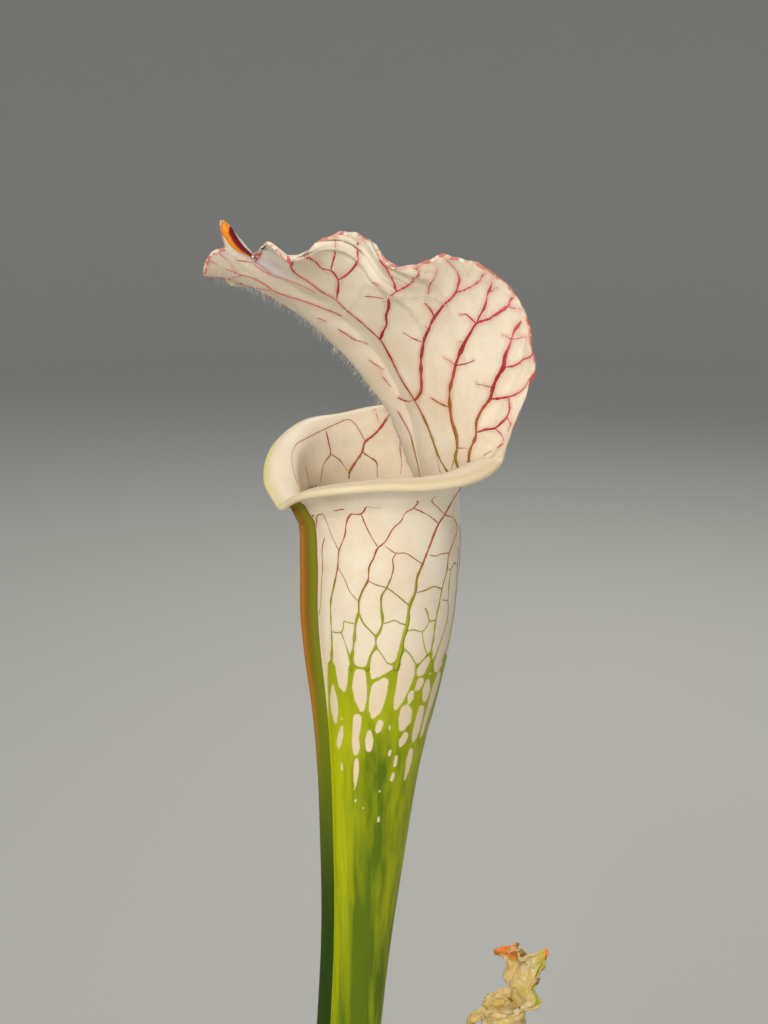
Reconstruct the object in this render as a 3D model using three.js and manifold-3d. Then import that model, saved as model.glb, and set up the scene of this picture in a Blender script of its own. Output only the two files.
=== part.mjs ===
// A potted white-topped trumpet pitcher plant.
// Millimetres, +Z up. The origin is the centre of the pot's flat underside.
// One tall pitcher and one short crumpled pitcher grow with three flat leaves from a rhizome,
// which lies half sunk in the soil of a plain round pot.
import * as THREE from 'three';
import { mergeVertices } from 'three/addons/utils/BufferGeometryUtils.js';
import Module from 'manifold-3d';

const wasm = await Module();
wasm.setup();

// Driving dimensions
const CLEARANCE = 0.3;
const POT = { height: 110, topRadius: 65, baseRadius: 46, wall: 1.8, floor: 2.4, sides: 48 };
const POT_RIM = { height: 13, proud: 2.2, bead: 1.4 };
const POT_DRAIN = { holes: 6, radius: 4.5, circle: 29 };
const SOIL = { level: 96, crown: 2.2, bump: 1.1, sides: 44, rings: 8 };
const RHIZOME = { length: 17.5, width: 12.5, height: 8.5, rise: 1.5, turn: 0.25 };
const RHIZOME_SURFACE = { lumps: 0.07, levels: 9, sides: 20 };
const RHIZOME_MIDDLE = { x: 2.5, below: 3 };
const SOCKET_DEPTH = 5.5;
const STEM_FOOT = SOIL.level + 0.4;
const WALL = 0.85;
const CAVITY_FLOOR = -232;
const PEG_SIDES = 16;
const TALL_HOLE = 4.9;
const SHORT_HOLE_GAP = 1.1;
const COLOUR_LINE = -58;

// The tall pitcher's mouth: its place over the pot, and the turn that points its front
const TALL_MOUTH = new THREE.Vector3(10, -6, 410);
const TALL_TURN = THREE.MathUtils.degToRad(205);
const SHORT_MOUTH = new THREE.Vector3(43, 19, 262);
const SHORT_TURN = THREE.MathUtils.degToRad(192);

// Tables of the tall pitcher in its mouth frame: x to the front, y to the near side, z up.
// Tube: height, radius. Axis: height, x, y. Wing: height, width of the keel along the front.
const TUBE = [
  [-322, 3.3], [-300, 3.6], [-250, 4.4], [-190, 5.6], [-138, 6.6], [-112, 7.4], [-85, 9.25],
  [-63, 11.2], [-42, 14.3], [-32, 15.8], [-22, 16.9], [-10, 17.2], [6, 17.3],
];
const AXIS = [
  [-322, 12.8, -12.2], [-220, 9.7, -8.8], [-138, 6.05, -5.5], [-98, 3.7, -3.6], [-63, 1.9, -2.1],
  [-42, 0.5, -1.0], [-22, -0.1, -0.4], [-2, -0.4, 0.1], [6, -0.4, 0.1],
];
const WING = [
  [-322, 0.3], [-306, 0.6], [-290, 2.0], [-250, 4.2], [-200, 4.8], [-138, 3.3], [-112, 3.0],
  [-85, 3.0], [-53, 3.3], [-32, 3.9], [-10, 4.0],
];
// The wing's width from the neck of the tube out along the underside of the spout
const SPOUT_WING = [[4, 3.6], [5, 3], [6, 2.9], [7, 2.2], [8, 0.3]];
// Radius of the lip's roll: place from the front, then on the near side and on the far side
const LIP_ROLL = [[0, 0.75, 0.75], [0.04, 0.95, 0.95], [0.1, 1.05, 0.85], [0.2, 1.1, 0.6]];

// Rings round the mouth: angle from the front, radius, height
const NECK = [
  [-180, 15.2, -1], [-155, 16.2, 1], [-130, 17.2, 5], [-90, 17.5, 7], [-40, 18, 5], [0, 17.6, 0],
  [40, 17.4, 3], [90, 17.4, 4.5], [130, 17.6, 8], [155, 17, 3], [180, 15.2, -1],
];
const CREASE = [
  [-150, 19.5, 17.5], [-130, 19.8, 17.2], [-90, 19.6, 16.6], [-50, 21, 15], [-25, 21, 10.5],
  [0, 20.4, 4.8], [25, 20.6, 8], [60, 20.4, 11], [90, 20.4, 11.8], [130, 20.6, 13.4], [150, 20, 14],
];
const EDGE = [
  [-150, 24, 21], [-130, 24.5, 20.8], [-110, 23.6, 20.3], [-90, 23.8, 19], [-60, 25, 18],
  [-38, 27.2, 13.5], [-20, 27.4, 8.4], [-6, 26.2, 5.4], [0, 26, 4.4], [8, 25.6, 6.4], [20, 26, 9],
  [40, 26, 11.6], [65, 24.8, 12.8], [90, 25.6, 12.6], [112, 27.6, 13.4], [130, 28.6, 15], [150, 28, 18],
];
// The hood: station along its midrib, then x, y, z of the midrib and of both margins
const MIDRIB = [
  [0, -10.9, 0, 7], [0.15, -8.6, 0, 16.5], [0.32, -5.2, 0, 26.3], [0.5, 2, 0, 38],
  [0.68, 12, 0, 48], [0.85, 22.5, 0, 54.3], [1, 31.4, 0, 60.5],
];
const NEAR_MARGIN = [
  [0, -18.4, 21.9, 15], [0.05, -18.8, 25, 20.6], [0.1, -20.4, 28.6, 29.5], [0.15, -22.4, 30, 36.9],
  [0.2, -21.4, 30.4, 41.5], [0.25, -19.8, 30.6, 47.5], [0.3, -17, 29.5, 53.7], [0.36, -12.4, 28.5, 58.3],
  [0.44, -6.4, 27.5, 61.1], [0.5, -1.6, 26.5, 61.8], [0.545, 1.8, 25.2, 60.6], [0.6, 6, 23.6, 60.2],
  [0.645, 9.8, 22, 61.4], [0.69, 12.8, 20.4, 65.2], [0.75, 17, 18.8, 66.8], [0.82, 22.3, 16, 65.2],
  [0.87, 26.5, 13.4, 62.2], [0.9, 28.6, 12, 62], [0.94, 31.2, 9.6, 64.8], [1, 33.5, 4, 63.4],
];
const FAR_MARGIN = [
  [0, -15.7, -18.8, 20.8], [0.12, -21, -27, 31], [0.24, -21.5, -31, 39], [0.36, -15.5, -32, 46],
  [0.5, -4, -30, 49.5], [0.65, 9, -26, 51.5], [0.8, 22, -21, 54], [0.92, 33.5, -15, 55.3],
  [1, 39.4, -9.5, 56.2],
];
// Handles of the curves that cross the hood, measured from the midrib
const NEAR_BEND = [[0, 1.5, 9, 1], [0.3, 1, 11, 3], [0.6, 0, 10, 3], [0.85, 0, 6, 2], [1, 0.5, 1.5, 1.5]];
const FAR_BEND = [
  [0, 3, -8, -1], [0.2, 6.4, -11, -3.4], [0.4, 8.5, -13, -7.5], [0.6, 7.6, -14, -7.5],
  [0.8, 4.6, -11, -5], [0.93, 6, -6, -1], [1, 9.5, -3, 5.5],
];
const MERGE_ANGLE = 130;
const MERGE_PLACE = 0.2;
const TIP_PLACE = 0.455;
const RUFFLE = { near: 0.5, far: 1.2, waves: 4.2, small: 0.5, smallWaves: 7.3 };
const SPUR = { x: 6.6, y: 0.2, z: 8.2, spread: 0.009, row: 6.9 };
const TUBE_HEIGHTS = [COLOUR_LINE, -40, -24, -10];
const TOP_ROWS = [0, 1, 2, 3, 3.5, 4, 4.4, 4.8, 5.2, 5.6, 6, 6.5, 7, 7.5, 8];
const STEM_HEIGHTS = [-306, -290, -270, -250, -230, -210, -190, -170, -150, -130, -112, -98, -85, -74, -66];

// The short pitcher is the same leaf at a third of the size, its hood set upright, squeezed
// over the mouth and crumpled, with a small horn drawn out of its margin
const SHORT = { scale: 0.31, upright: 0.52, crumple: 0.55, wall: 0.75, funnel: 4.7 };
const SQUEEZE = { from: 14, over: 16, middle: -5, share: 0.75, shift: 2, thin: 0.45 };
const SHORT_HORN = { place: 0.2905, spread: 0.014, row: 6.6, x: -2.6, z: 1.6 };
const SHORT_ROWS = [3, 4, 4.7, 5.4, 6, 7, 8];
const SHORT_WING = { below: 0.9, above: 0.4, row: 6, foot: -170, grows: 30 };
const SHORT_STEM = [
  [-170.8, 2.1, 36.4, 7.6], [-157, 2.2, 36, 7.5], [-130, 2.6, 29.5, 6.2], [-90, 3.4, 18, 4],
  [-50, 4.3, 8.6, 2], [-24, 5.0, 3.2, 0.7], [-14, 5.3, 1.2, 0.2],
];

// Flat leaves: foot on the rhizome, heading, length, width, and how far the tip leans out
const FLAT_LEAVES = [
  { foot: [1.5, -8], heading: -68, length: 118, width: 9.5, lean: 46 },
  { foot: [-3, 8.4], heading: 118, length: 104, width: 8.6, lean: 40 },
  { foot: [12.6, -2.2], heading: -18, length: 88, width: 7.8, lean: 44 },
];

const COLOURS = {
  white: 0xe9e3d6, green: 0x7d9b25, straw: 0xb9a860, blade: 0x64872a,
  rhizome: 0x5b4028, soil: 0x35271c, pot: 0x2f3134,
};

// Helpers on numbers and points
const lerp = (a, b, f) => a + (b - a) * f;
const clamp01 = (x) => Math.min(Math.max(x, 0), 1);
const smooth = (x) => clamp01(x) ** 2 * (3 - 2 * clamp01(x));
const plus = (a, b, f = 1) => a.map((v, k) => v + b[k] * f);
const blend = (a, b, f) => a.map((v, k) => lerp(v, b[k], f));
const minus = (a, b) => a.map((v, k) => v - b[k]);
const length = (a) => Math.hypot(...a);
const unit = (a) => a.map((v) => v / (length(a) || 1));
const cross = (a, b) => [a[1] * b[2] - a[2] * b[1], a[2] * b[0] - a[0] * b[2], a[0] * b[1] - a[1] * b[0]];
const dot = (a, b) => a[0] * b[0] + a[1] * b[1] + a[2] * b[2];

// A smooth curve through the rows of a table: the first column is the place, the rest the values
function spline(table, place) {
  const last = table.length - 1;
  const x = Math.min(Math.max(place, table[0][0]), table[last][0]);
  let i = 0;
  while (i < last - 1 && x >= table[i + 1][0]) i += 1;
  const step = (k) => table[k + 1][0] - table[k][0];
  const slope = (k, c) => (table[k + 1][c] - table[k][c]) / step(k);
  const tangent = (k, c) => {
    if (k === 0) return slope(0, c);
    if (k === last) return slope(last - 1, c);
    return (slope(k - 1, c) * step(k) + slope(k, c) * step(k - 1)) / (step(k) + step(k - 1));
  };
  const h = step(i);
  const u = (x - table[i][0]) / h;
  return table[i].slice(1).map((v, c) => hermite(
    v, table[i + 1][c + 1], tangent(i, c + 1) * h, tangent(i + 1, c + 1) * h, u,
  ));
}

function hermite(p, q, m, n, u) {
  const u2 = u * u;
  const u3 = u2 * u;
  return (2 * u3 - 3 * u2 + 1) * p + (u3 - 2 * u2 + u) * m + (3 * u2 - 2 * u3) * q + (u3 - u2) * n;
}

// A point on a curve through key points, spaced by the square root of their distances
function throughKeys(keys, t) {
  const last = keys.length - 1;
  const i = Math.min(Math.floor(t), last - 1);
  const gap = (k) => Math.max(Math.sqrt(length(minus(keys[k + 1], keys[k]))), 0.05);
  const slope = (k) => minus(keys[k + 1], keys[k]).map((v) => v / gap(k));
  const tangent = (k) => {
    if (k === 0) return slope(0);
    if (k === last) return slope(last - 1);
    return slope(k - 1).map((v, c) => (v * gap(k) + slope(k)[c] * gap(k - 1)) / (gap(k) + gap(k - 1)));
  };
  const start = tangent(i);
  const end = tangent(i + 1);
  return keys[i].map((v, c) => hermite(v, keys[i + 1][c], start[c] * gap(i), end[c] * gap(i), t - i));
}

// Closed mesh made of rings of points, each closed on itself and stitched to the next.
// A cap closes an end with a fan to that end's middle point.
function ringSolid(rings, { capStart = true, capEnd = true } = {}) {
  const count = rings[0].length;
  const points = rings.flat();
  const faces = [];
  const stitch = (a, b) => {
    for (let j = 0; j < count; j += 1) {
      const k = (j + 1) % count;
      faces.push([a + j, a + k, b + k], [a + j, b + k, b + j]);
    }
  };
  for (let i = 0; i + 1 < rings.length; i += 1) stitch(i * count, (i + 1) * count);
  const fan = (ring, start, flip) => {
    const middle = ring.reduce((sum, p) => plus(sum, p), [0, 0, 0]).map((v) => v / count);
    const hub = points.push(middle) - 1;
    for (let j = 0; j < count; j += 1) {
      const k = (j + 1) % count;
      faces.push(flip ? [hub, start + k, start + j] : [hub, start + j, start + k]);
    }
  };
  if (capStart) fan(rings[0], 0, true);
  if (capEnd) fan(rings[rings.length - 1], (rings.length - 1) * count, false);
  if (!capStart && !capEnd) stitch((rings.length - 1) * count, 0);
  return geometryOf(points, faces);
}

function geometryOf(points, faces) {
  const geometry = new THREE.BufferGeometry();
  geometry.setAttribute('position', new THREE.Float32BufferAttribute(points.flat(), 3));
  geometry.setIndex(faces.flat());
  return geometry;
}

function toSolid(geometry) {
  const bare = geometry.clone();
  bare.deleteAttribute('normal');
  bare.deleteAttribute('uv');
  const merged = mergeVertices(bare, 1e-4);
  const vertProperties = new Float32Array(merged.attributes.position.array);
  const triVerts = new Uint32Array(merged.index.array);
  return new wasm.Manifold(new wasm.Mesh({ numProp: 3, vertProperties, triVerts }));
}

function fromSolid(solid) {
  const { vertProperties, triVerts } = solid.getMesh();
  const geometry = new THREE.BufferGeometry();
  geometry.setAttribute('position', new THREE.BufferAttribute(new Float32Array(vertProperties), 3));
  geometry.setIndex(new THREE.BufferAttribute(new Uint32Array(triVerts), 1));
  return geometry;
}

function named(name, geometry, colour, roughness) {
  geometry.deleteAttribute('normal');
  geometry.computeVertexNormals();
  const material = new THREE.MeshStandardMaterial({ color: colour, roughness, metalness: 0 });
  const mesh = new THREE.Mesh(geometry, material);
  mesh.name = name;
  return mesh;
}

// Form of the pitcher leaf

// A point on the tube's wall at an angle from the front and a height
function tubeWall(angle, z, radius = spline(TUBE, z)[0]) {
  const [x, y] = spline(AXIS, z);
  return [x + radius * Math.cos(angle), y + radius * Math.sin(angle), z];
}

// A point on the hood: station along the midrib, and across from -1, far margin, to 1, near margin
function hoodPoint(station, across) {
  const middle = spline(MIDRIB, station);
  const margin = spline(across < 0 ? FAR_MARGIN : NEAR_MARGIN, station);
  const handle = plus(middle, spline(across < 0 ? FAR_BEND : NEAR_BEND, station));
  const u = Math.abs(across);
  return middle.map((v, k) => (1 - u) ** 2 * v + 2 * u * (1 - u) * handle[k] + u ** 2 * margin[k]);
}

// The ray of key points that runs up the tube's wall and out to the rim at one place round it.
// Places go from 0 at the front of the lip by the near side to 0.5 at the hood's tip, and on to 1.
function rayKeys(place) {
  const half = Math.min(place, 1 - place);
  const side = place <= 0.5 ? 1 : -1;
  const behind = clamp01((half - MERGE_PLACE) / (0.5 - MERGE_PLACE)) ** 0.8;
  const degrees = half < MERGE_PLACE
    ? (MERGE_ANGLE * half) / MERGE_PLACE
    : lerp(MERGE_ANGLE, 180, behind);
  const angle = THREE.MathUtils.degToRad(degrees) * side;
  const ring = ([radius, height]) => [radius * Math.cos(angle), radius * Math.sin(angle), height];
  const neck = ring(spline(NECK, degrees * side));
  const crease = ring(spline(CREASE, degrees * side));
  const edge = ring(spline(EDGE, degrees * side));
  const under = neck.map((v, k) => lerp(v, crease[k], 0.5));
  const over = plus(crease.map((v, k) => lerp(v, edge[k], 0.5)), [0, 0, 1.2]);
  const lip = [under, crease, over, edge];
  const station = clamp01((half - MERGE_PLACE) / (TIP_PLACE - MERGE_PLACE));
  const acrossEnd = half > TIP_PLACE ? 1 - (half - TIP_PLACE) / (0.5 - TIP_PLACE) : 1;
  const acrossStart = clamp01((180 - degrees) / (180 - MERGE_ANGLE));
  const hoodShare = smooth((half - MERGE_PLACE + 0.012) / 0.05);
  const hoodRay = (f) => hoodPoint(station * f, side * lerp(acrossStart, acrossEnd, f));
  const upper = lip.map((p, k) => blend(p, hoodRay(k / (lip.length - 1)), hoodShare));
  const keys = [...TUBE_HEIGHTS.map((z) => tubeWall(angle, z)), neck, ...upper];
  return { keys, station, side, hoodShare, hoodRay };
}

// The sheet's point at a place round the rim and a row from 0, the colour line, to 8, the rim
function sheetPoint(ray, place, row) {
  const onHood = ray.hoodShare * smooth(row - 5);
  const point = blend(throughKeys(ray.keys, row), ray.hoodRay(clamp01((row - 5) / 3)), onHood);
  const drawn = smooth((row - SPUR.row) / (8 - SPUR.row)) ** 2;
  const spur = drawn * Math.exp(-(((place - 0.5) / SPUR.spread) ** 2));
  return plus(point, [SPUR.x, SPUR.y, SPUR.z], spur);
}

// Waves of the hood's margin, along the sheet's normal
function ruffle({ station, side }, row) {
  const share = smooth((row - 4.5) / 3.5) ** 2 * smooth(station * 6) * smooth((1 - station) * 8);
  const size = side > 0 ? RUFFLE.near : RUFFLE.far;
  const wave = Math.sin(2 * Math.PI * RUFFLE.waves * station + 0.6);
  const small = RUFFLE.small * Math.sin(2 * Math.PI * RUFFLE.smallWaves * station + 2);
  return share * size * (wave + small);
}

// Grid of the sheet's middle surface with its outward normals: rows by places
function sheetGrid(places, rows, shape = (p) => p, rough = () => 0) {
  const rays = places.map(rayKeys);
  const at = (row, j) => shape(sheetPoint(rays[j], places[j], row), places[j], row);
  const grid = rows.map((row) => rays.map((ray, j) => at(row, j)));
  const normalsOf = (g) => g.map((line, i) => line.map((point, j) => {
    const along = minus(line[(j + 1) % line.length], line[(j + line.length - 1) % line.length]);
    const up = minus(g[Math.min(i + 1, g.length - 1)][j], g[Math.max(i - 1, 0)][j]);
    return unit(cross(along, up));
  }));
  const flat = normalsOf(grid);
  const waved = grid.map((line, i) => line.map((point, j) => {
    const lift = ruffle(rays[j], rows[i]) + rough(point);
    return plus(point, flat[i][j], lift);
  }));
  return { grid: waved, normals: normalsOf(waved) };
}

// Round edge of the rim in one place, from the inner face to the outer, as a fat roll on the lip
// and a thin half round on the hood
function rimRound(end, before, normal, wall, radius, steps) {
  const raw = minus(end, before);
  const out = unit(plus(raw, normal, -dot(raw, normal)));
  const middle = plus(end, normal, radius - wall / 2);
  const sweep = 2 * Math.PI - Math.acos((radius - wall) / radius);
  return Array.from({ length: steps }, (_, k) => {
    const turn = (sweep * (k + 1)) / steps;
    return plus(plus(middle, normal, -radius * Math.cos(turn)), out, radius * Math.sin(turn));
  });
}

// Share of the lip's roll at a place: whole on the lip, none on the hood
const rollShare = (place) => 1 - smooth((Math.min(place, 1 - place) - MERGE_PLACE + 0.03) / 0.06);

// Places round the rim: close together at the wing and the tip, even along the lip and the hood
function rimPlaces(lipSteps, hoodSteps) {
  const wing = [2, 4.5].map((degrees) => (degrees * MERGE_PLACE) / MERGE_ANGLE);
  const lip = Array.from({ length: lipSteps }, (_, k) => (MERGE_PLACE * (k + 1)) / lipSteps);
  const hood = Array.from({ length: hoodSteps }, (_, k) => lerp(MERGE_PLACE, 0.494, (k + 1) / hoodSteps));
  const half = [...wing, ...lip, ...hood];
  return [0, ...half, 0.5, ...half.map((place) => 1 - place).reverse()];
}

// Width of the wing beside its middle line: full at the line, tapering to the sides
const wingTaper = [1, 0.92, 0];

// Outer and inner faces of the pitcher's upper part, joined by the rim's round edge
function pitcherShell(places, rows, sheet, wall, wingWidth) {
  const last = rows.length - 1;
  const count = places.length;
  const offset = (i, j, distance) => {
    const [x, y, z] = sheet.normals[i][j];
    const normal = i === 0 ? unit([x, y, 0]) : [x, y, z];
    return plus(sheet.grid[i][j], normal, distance);
  };
  const outer = rows.slice(0, last).map((row, i) => places.map((_, j) => {
    const taper = wingTaper[Math.min(j, count - j)] ?? 0;
    return offset(i, j, wall / 2 + taper * wingWidth(row, sheet.grid[i][j]));
  }));
  const inner = rows.map((_, i) => places.map((__, j) => offset(i, j, -wall / 2)));
  const steps = 5;
  const rounds = places.map((place, j) => {
    const roll = spline(LIP_ROLL, Math.min(place, 1 - place))[place <= 0.5 ? 0 : 1] * (wall / WALL);
    const radius = lerp(wall / 2, roll, rollShare(place));
    const [end, before] = [sheet.grid[last][j], sheet.grid[last - 1][j]];
    return rimRound(end, before, sheet.normals[last][j], wall, radius, steps);
  });
  const cap = Array.from({ length: steps }, (_, k) => rounds.map((round) => round[steps - 1 - k]));
  return { outer, cap, inner: inner.reverse() };
}

// Sub-parts

function tallPitcherTop() {
  const places = rimPlaces(13, 26);
  const sheet = sheetGrid(places, TOP_ROWS);
  const wingWidth = (row, point) => (row < 4 ? spline(WING, point[2])[0] : spline(SPOUT_WING, row)[0]);
  const { outer, cap, inner } = pitcherShell(places, TOP_ROWS, sheet, WALL, wingWidth);
  return ringSolid([...outer, ...cap, ...inner], { capStart: false, capEnd: false });
}

// Angles round the tube with the wing's flanks a fixed distance from its middle line
function tubeAngles(radius, sides) {
  const flank = [0.5 / radius, 1.1 / radius];
  const sweep = 2 * (Math.PI - flank[1]);
  const rest = Array.from({ length: sides }, (_, k) => flank[1] + (sweep * (k + 1)) / (sides + 1));
  return [0, ...flank, ...rest, 2 * Math.PI - flank[1], 2 * Math.PI - flank[0]];
}

function tallPitcherTube() {
  const sides = 19;
  const foot = STEM_FOOT - SOCKET_DEPTH + CLEARANCE - TALL_MOUTH.z;
  const heights = [foot, ...STEM_HEIGHTS, COLOUR_LINE - CLEARANCE];
  const ring = (z, inset, wing) => {
    const radius = spline(TUBE, z)[0] - inset;
    const angles = tubeAngles(radius, sides);
    return angles.map((angle, j) => {
      const taper = wingTaper[Math.min(j, angles.length - j)] ?? 0;
      return tubeWall(angle, z, radius + taper * wing);
    });
  };
  const outer = heights.map((z) => ring(z, -WALL / 2, spline(WING, z)[0]));
  const inner = heights.filter((z) => z > CAVITY_FLOOR).reverse().map((z) => ring(z, WALL / 2, 0));
  return ringSolid([...outer, ...inner]);
}

// Fine waves that crumple the short pitcher, from a point's place alone
function crumple([x, y, z]) {
  const long = Math.sin(1.1 * z + 0.8 * x) * Math.cos(0.9 * y - 0.5 * z);
  const fine = Math.sin(1.9 * y + 1.3 * x + 1) * Math.cos(1.7 * z);
  return SHORT.crumple * smooth((z + 6) / 8) * (long + 0.4 * fine);
}

// The tall leaf's sheet made into the short one's
function shortShape([x, y, z], place, row) {
  const upright = (x - SHORT.upright * Math.max(z - 10, 0)) * SHORT.scale;
  const share = smooth((z - SQUEEZE.from) / SQUEEZE.over);
  const squeezed = lerp(upright, (upright - SQUEEZE.middle) * SQUEEZE.share + SQUEEZE.shift, share);
  const near = Math.exp(-(((place - SHORT_HORN.place) / SHORT_HORN.spread) ** 2));
  const horn = near * smooth((row - SHORT_HORN.row) / (8 - SHORT_HORN.row)) ** 2;
  return [
    squeezed + SHORT_HORN.x * horn,
    y * SHORT.scale * (1 - SQUEEZE.thin * share),
    z * SHORT.scale + SHORT_HORN.z * horn,
  ];
}

function shortPitcher() {
  const rows = SHORT_ROWS;
  const places = rimPlaces(8, 13);
  const sheet = sheetGrid(places, rows, shortShape, crumple);
  const wingWidth = (row) => (row < SHORT_WING.row ? SHORT_WING.below : SHORT_WING.above);
  const { outer, cap, inner } = pitcherShell(places, rows, sheet, SHORT.wall, wingWidth);
  const funnel = inner.filter((_, k) => rows[rows.length - 1 - k] >= SHORT.funnel);
  const stem = SHORT_STEM.map(([z, radius, x, y]) => places.map((place, j) => {
    const [px, py] = sheet.grid[0][j];
    const [ox, oy] = unit([px, py]);
    const taper = wingTaper[Math.min(j, places.length - j)] ?? 0;
    const reach = radius + taper * SHORT_WING.below * smooth((z - SHORT_WING.foot) / SHORT_WING.grows);
    return [x + ox * reach, y + oy * reach, z];
  }));
  return ringSolid([...stem, ...outer, ...cap, ...funnel]);
}

// A flat leaf: a lens-shaped blade folded along its middle, on a path that leans out and up
function flatLeaf({ heading, length: long, width, lean }) {
  const turn = THREE.MathUtils.degToRad(heading);
  const out = [Math.cos(turn), Math.sin(turn), 0];
  const aside = [-Math.sin(turn), Math.cos(turn), 0];
  const steps = 13;
  const rings = Array.from({ length: steps + 1 }, (_, k) => {
    const f = k / steps;
    const half = (width / 2) * lerp(0.3, 1, smooth(f / 0.35)) * Math.sqrt(Math.max(1 - f ** 3, 0.004));
    const thick = lerp(1.3, 0.42, smooth(f / 0.6));
    const centre = plus([0, 0, long * f], out, lean * f * f);
    const rise = unit([out[0] * 2 * lean * f, out[1] * 2 * lean * f, long]);
    const face = cross(rise, aside);
    const fold = 0.16 * half;
    const crease = (across) => fold * Math.abs(across / half);
    const at = (across, depth) => plus(plus(centre, aside, across), face, depth + crease(across));
    return [
      at(-half, 0.1), at(-half / 2, -thick), at(0, -thick), at(half / 2, -thick),
      at(half, 0.1), at(half / 2, thick), at(0, thick), at(-half / 2, thick),
    ];
  });
  return ringSolid(rings.map((ring) => ring.reverse()).reverse());
}

function spheroid(length2, width2, height2) {
  const { lumps, levels, sides } = RHIZOME_SURFACE;
  const rings = [];
  for (let i = 1; i < levels; i += 1) {
    const polar = Math.PI * (1 - i / levels);
    rings.push(Array.from({ length: sides }, (_, j) => {
      const turn = (2 * Math.PI * j) / sides;
      const lump = 1 + lumps * Math.sin(3 * turn + 4 * polar) * Math.sin(polar) ** 2;
      const ringRadius = Math.sin(polar) * lump;
      const z = height2 * Math.cos(polar);
      return [length2 * ringRadius * Math.cos(turn), width2 * ringRadius * Math.sin(turn), z];
    }));
  }
  return ringSolid(rings);
}

// Straight round peg that cuts a stem's plain hole
function peg(x, y, radius, bottom, top) {
  const geometry = new THREE.CylinderGeometry(radius, radius, top - bottom, PEG_SIDES);
  geometry.rotateX(Math.PI / 2);
  geometry.translate(x, y, (top + bottom) / 2);
  return toSolid(geometry);
}

// Places and radii of the holes in which the stems stand
function stemHoles() {
  const footHeight = STEM_FOOT - SOCKET_DEPTH - TALL_MOUTH.z;
  const up = new THREE.Vector3(0, 0, 1);
  const tall = new THREE.Vector3(...tubeWall(0, footHeight, 0)).applyAxisAngle(up, TALL_TURN);
  tall.add(TALL_MOUTH);
  const [, shortRadius, sx, sy] = SHORT_STEM[0];
  const short = new THREE.Vector3(sx, sy, 0).applyAxisAngle(up, SHORT_TURN).add(SHORT_MOUTH);
  return [
    [tall.x, tall.y, TALL_HOLE],
    [short.x, short.y, shortRadius + SHORT_HOLE_GAP],
    ...FLAT_LEAVES.map(({ foot, width }) => [foot[0], foot[1], width * 0.15 + 1.35]),
  ];
}

function rhizomeBody(grow) {
  const body = spheroid(RHIZOME.length + grow, RHIZOME.width + grow, RHIZOME.height + grow);
  body.rotateZ(RHIZOME.turn);
  body.translate(RHIZOME_MIDDLE.x, 0, SOIL.level + RHIZOME.rise - RHIZOME_MIDDLE.below);
  return toSolid(body);
}

function rhizome() {
  let body = rhizomeBody(0);
  stemHoles().forEach(([x, y, radius]) => {
    body = body.subtract(peg(x, y, radius, STEM_FOOT - SOCKET_DEPTH, STEM_FOOT + 20));
  });
  return fromSolid(body);
}

function pot() {
  const { height, topRadius, baseRadius, wall, floor, sides } = POT;
  const { proud, bead } = POT_RIM;
  const bandFoot = height - POT_RIM.height;
  const outerAt = (z) => lerp(baseRadius, topRadius - proud, z / height);
  const innerAt = (z) => outerAt(z) - wall;
  const profile = [
    [0, 0], [baseRadius - 1.6, 0], [baseRadius, 1.6], [outerAt(bandFoot), bandFoot],
    [topRadius - 0.4, bandFoot + 1.2], [topRadius, height - 2 * bead], [topRadius - 0.4, height - 0.5],
    [topRadius - bead, height], [innerAt(height) + 0.6, height], [innerAt(height), height - 1],
    [innerAt(floor), floor], [0, floor],
  ].map(([r, z]) => new THREE.Vector2(r, z));
  const lathe = new THREE.LatheGeometry(profile, sides);
  lathe.rotateX(Math.PI / 2);
  let body = toSolid(lathe);
  for (let k = 0; k < POT_DRAIN.holes; k += 1) {
    const turn = (2 * Math.PI * (k + 0.5)) / POT_DRAIN.holes;
    const x = POT_DRAIN.circle * Math.cos(turn);
    const y = POT_DRAIN.circle * Math.sin(turn);
    body = body.subtract(peg(x, y, POT_DRAIN.radius, -1, floor + 1));
  }
  return fromSolid(body);
}

// Soil: a plug that fits the pot, with a slightly domed and bumpy top and a pocket for the rhizome
function soil() {
  const { level, crown, bump, sides, rings } = SOIL;
  const base = POT.floor + CLEARANCE;
  const shortfall = POT.wall + CLEARANCE + 0.25;
  const radiusAt = (z) => lerp(POT.baseRadius, POT.topRadius - POT_RIM.proud, z / POT.height) - shortfall;
  const ring = (radius, heightAt) => Array.from({ length: sides }, (_, j) => {
    const turn = (2 * Math.PI * j) / sides;
    const x = radius * Math.cos(turn);
    const y = radius * Math.sin(turn);
    return [x, y, heightAt(x, y)];
  });
  const edge = radiusAt(level);
  const top = (x, y) => {
    const out = Math.hypot(x, y) / edge;
    const lumps = Math.sin(0.31 * x + 1) * Math.cos(0.27 * y) + 0.6 * Math.sin(0.62 * y + 0.4 * x);
    return level - 1 + crown * (1 - out * out) + bump * lumps * smooth((1 - out) * 6);
  };
  const lower = [ring(radiusAt(base) - 1, () => base), ring(radiusAt(base + 1), () => base + 1)];
  const upper = Array.from({ length: rings }, (_, k) => ring(edge * (1 - k / rings), top));
  const body = toSolid(ringSolid([...lower, ...upper]));
  return fromSolid(body.subtract(rhizomeBody(CLEARANCE + 0.1)));
}

// Assembly
const part = new THREE.Group();
part.name = 'potted_pitcher_plant';
part.add(named('pot', pot(), COLOURS.pot, 0.6));
part.add(named('soil', soil(), COLOURS.soil, 0.95));
part.add(named('rhizome', rhizome(), COLOURS.rhizome, 0.85));

const tall = new THREE.Group();
tall.position.copy(TALL_MOUTH);
tall.rotation.z = TALL_TURN;
tall.add(named('tall_pitcher_tube', tallPitcherTube(), COLOURS.green, 0.45));
tall.add(named('tall_pitcher_top', tallPitcherTop(), COLOURS.white, 0.5));
part.add(tall);

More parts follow.
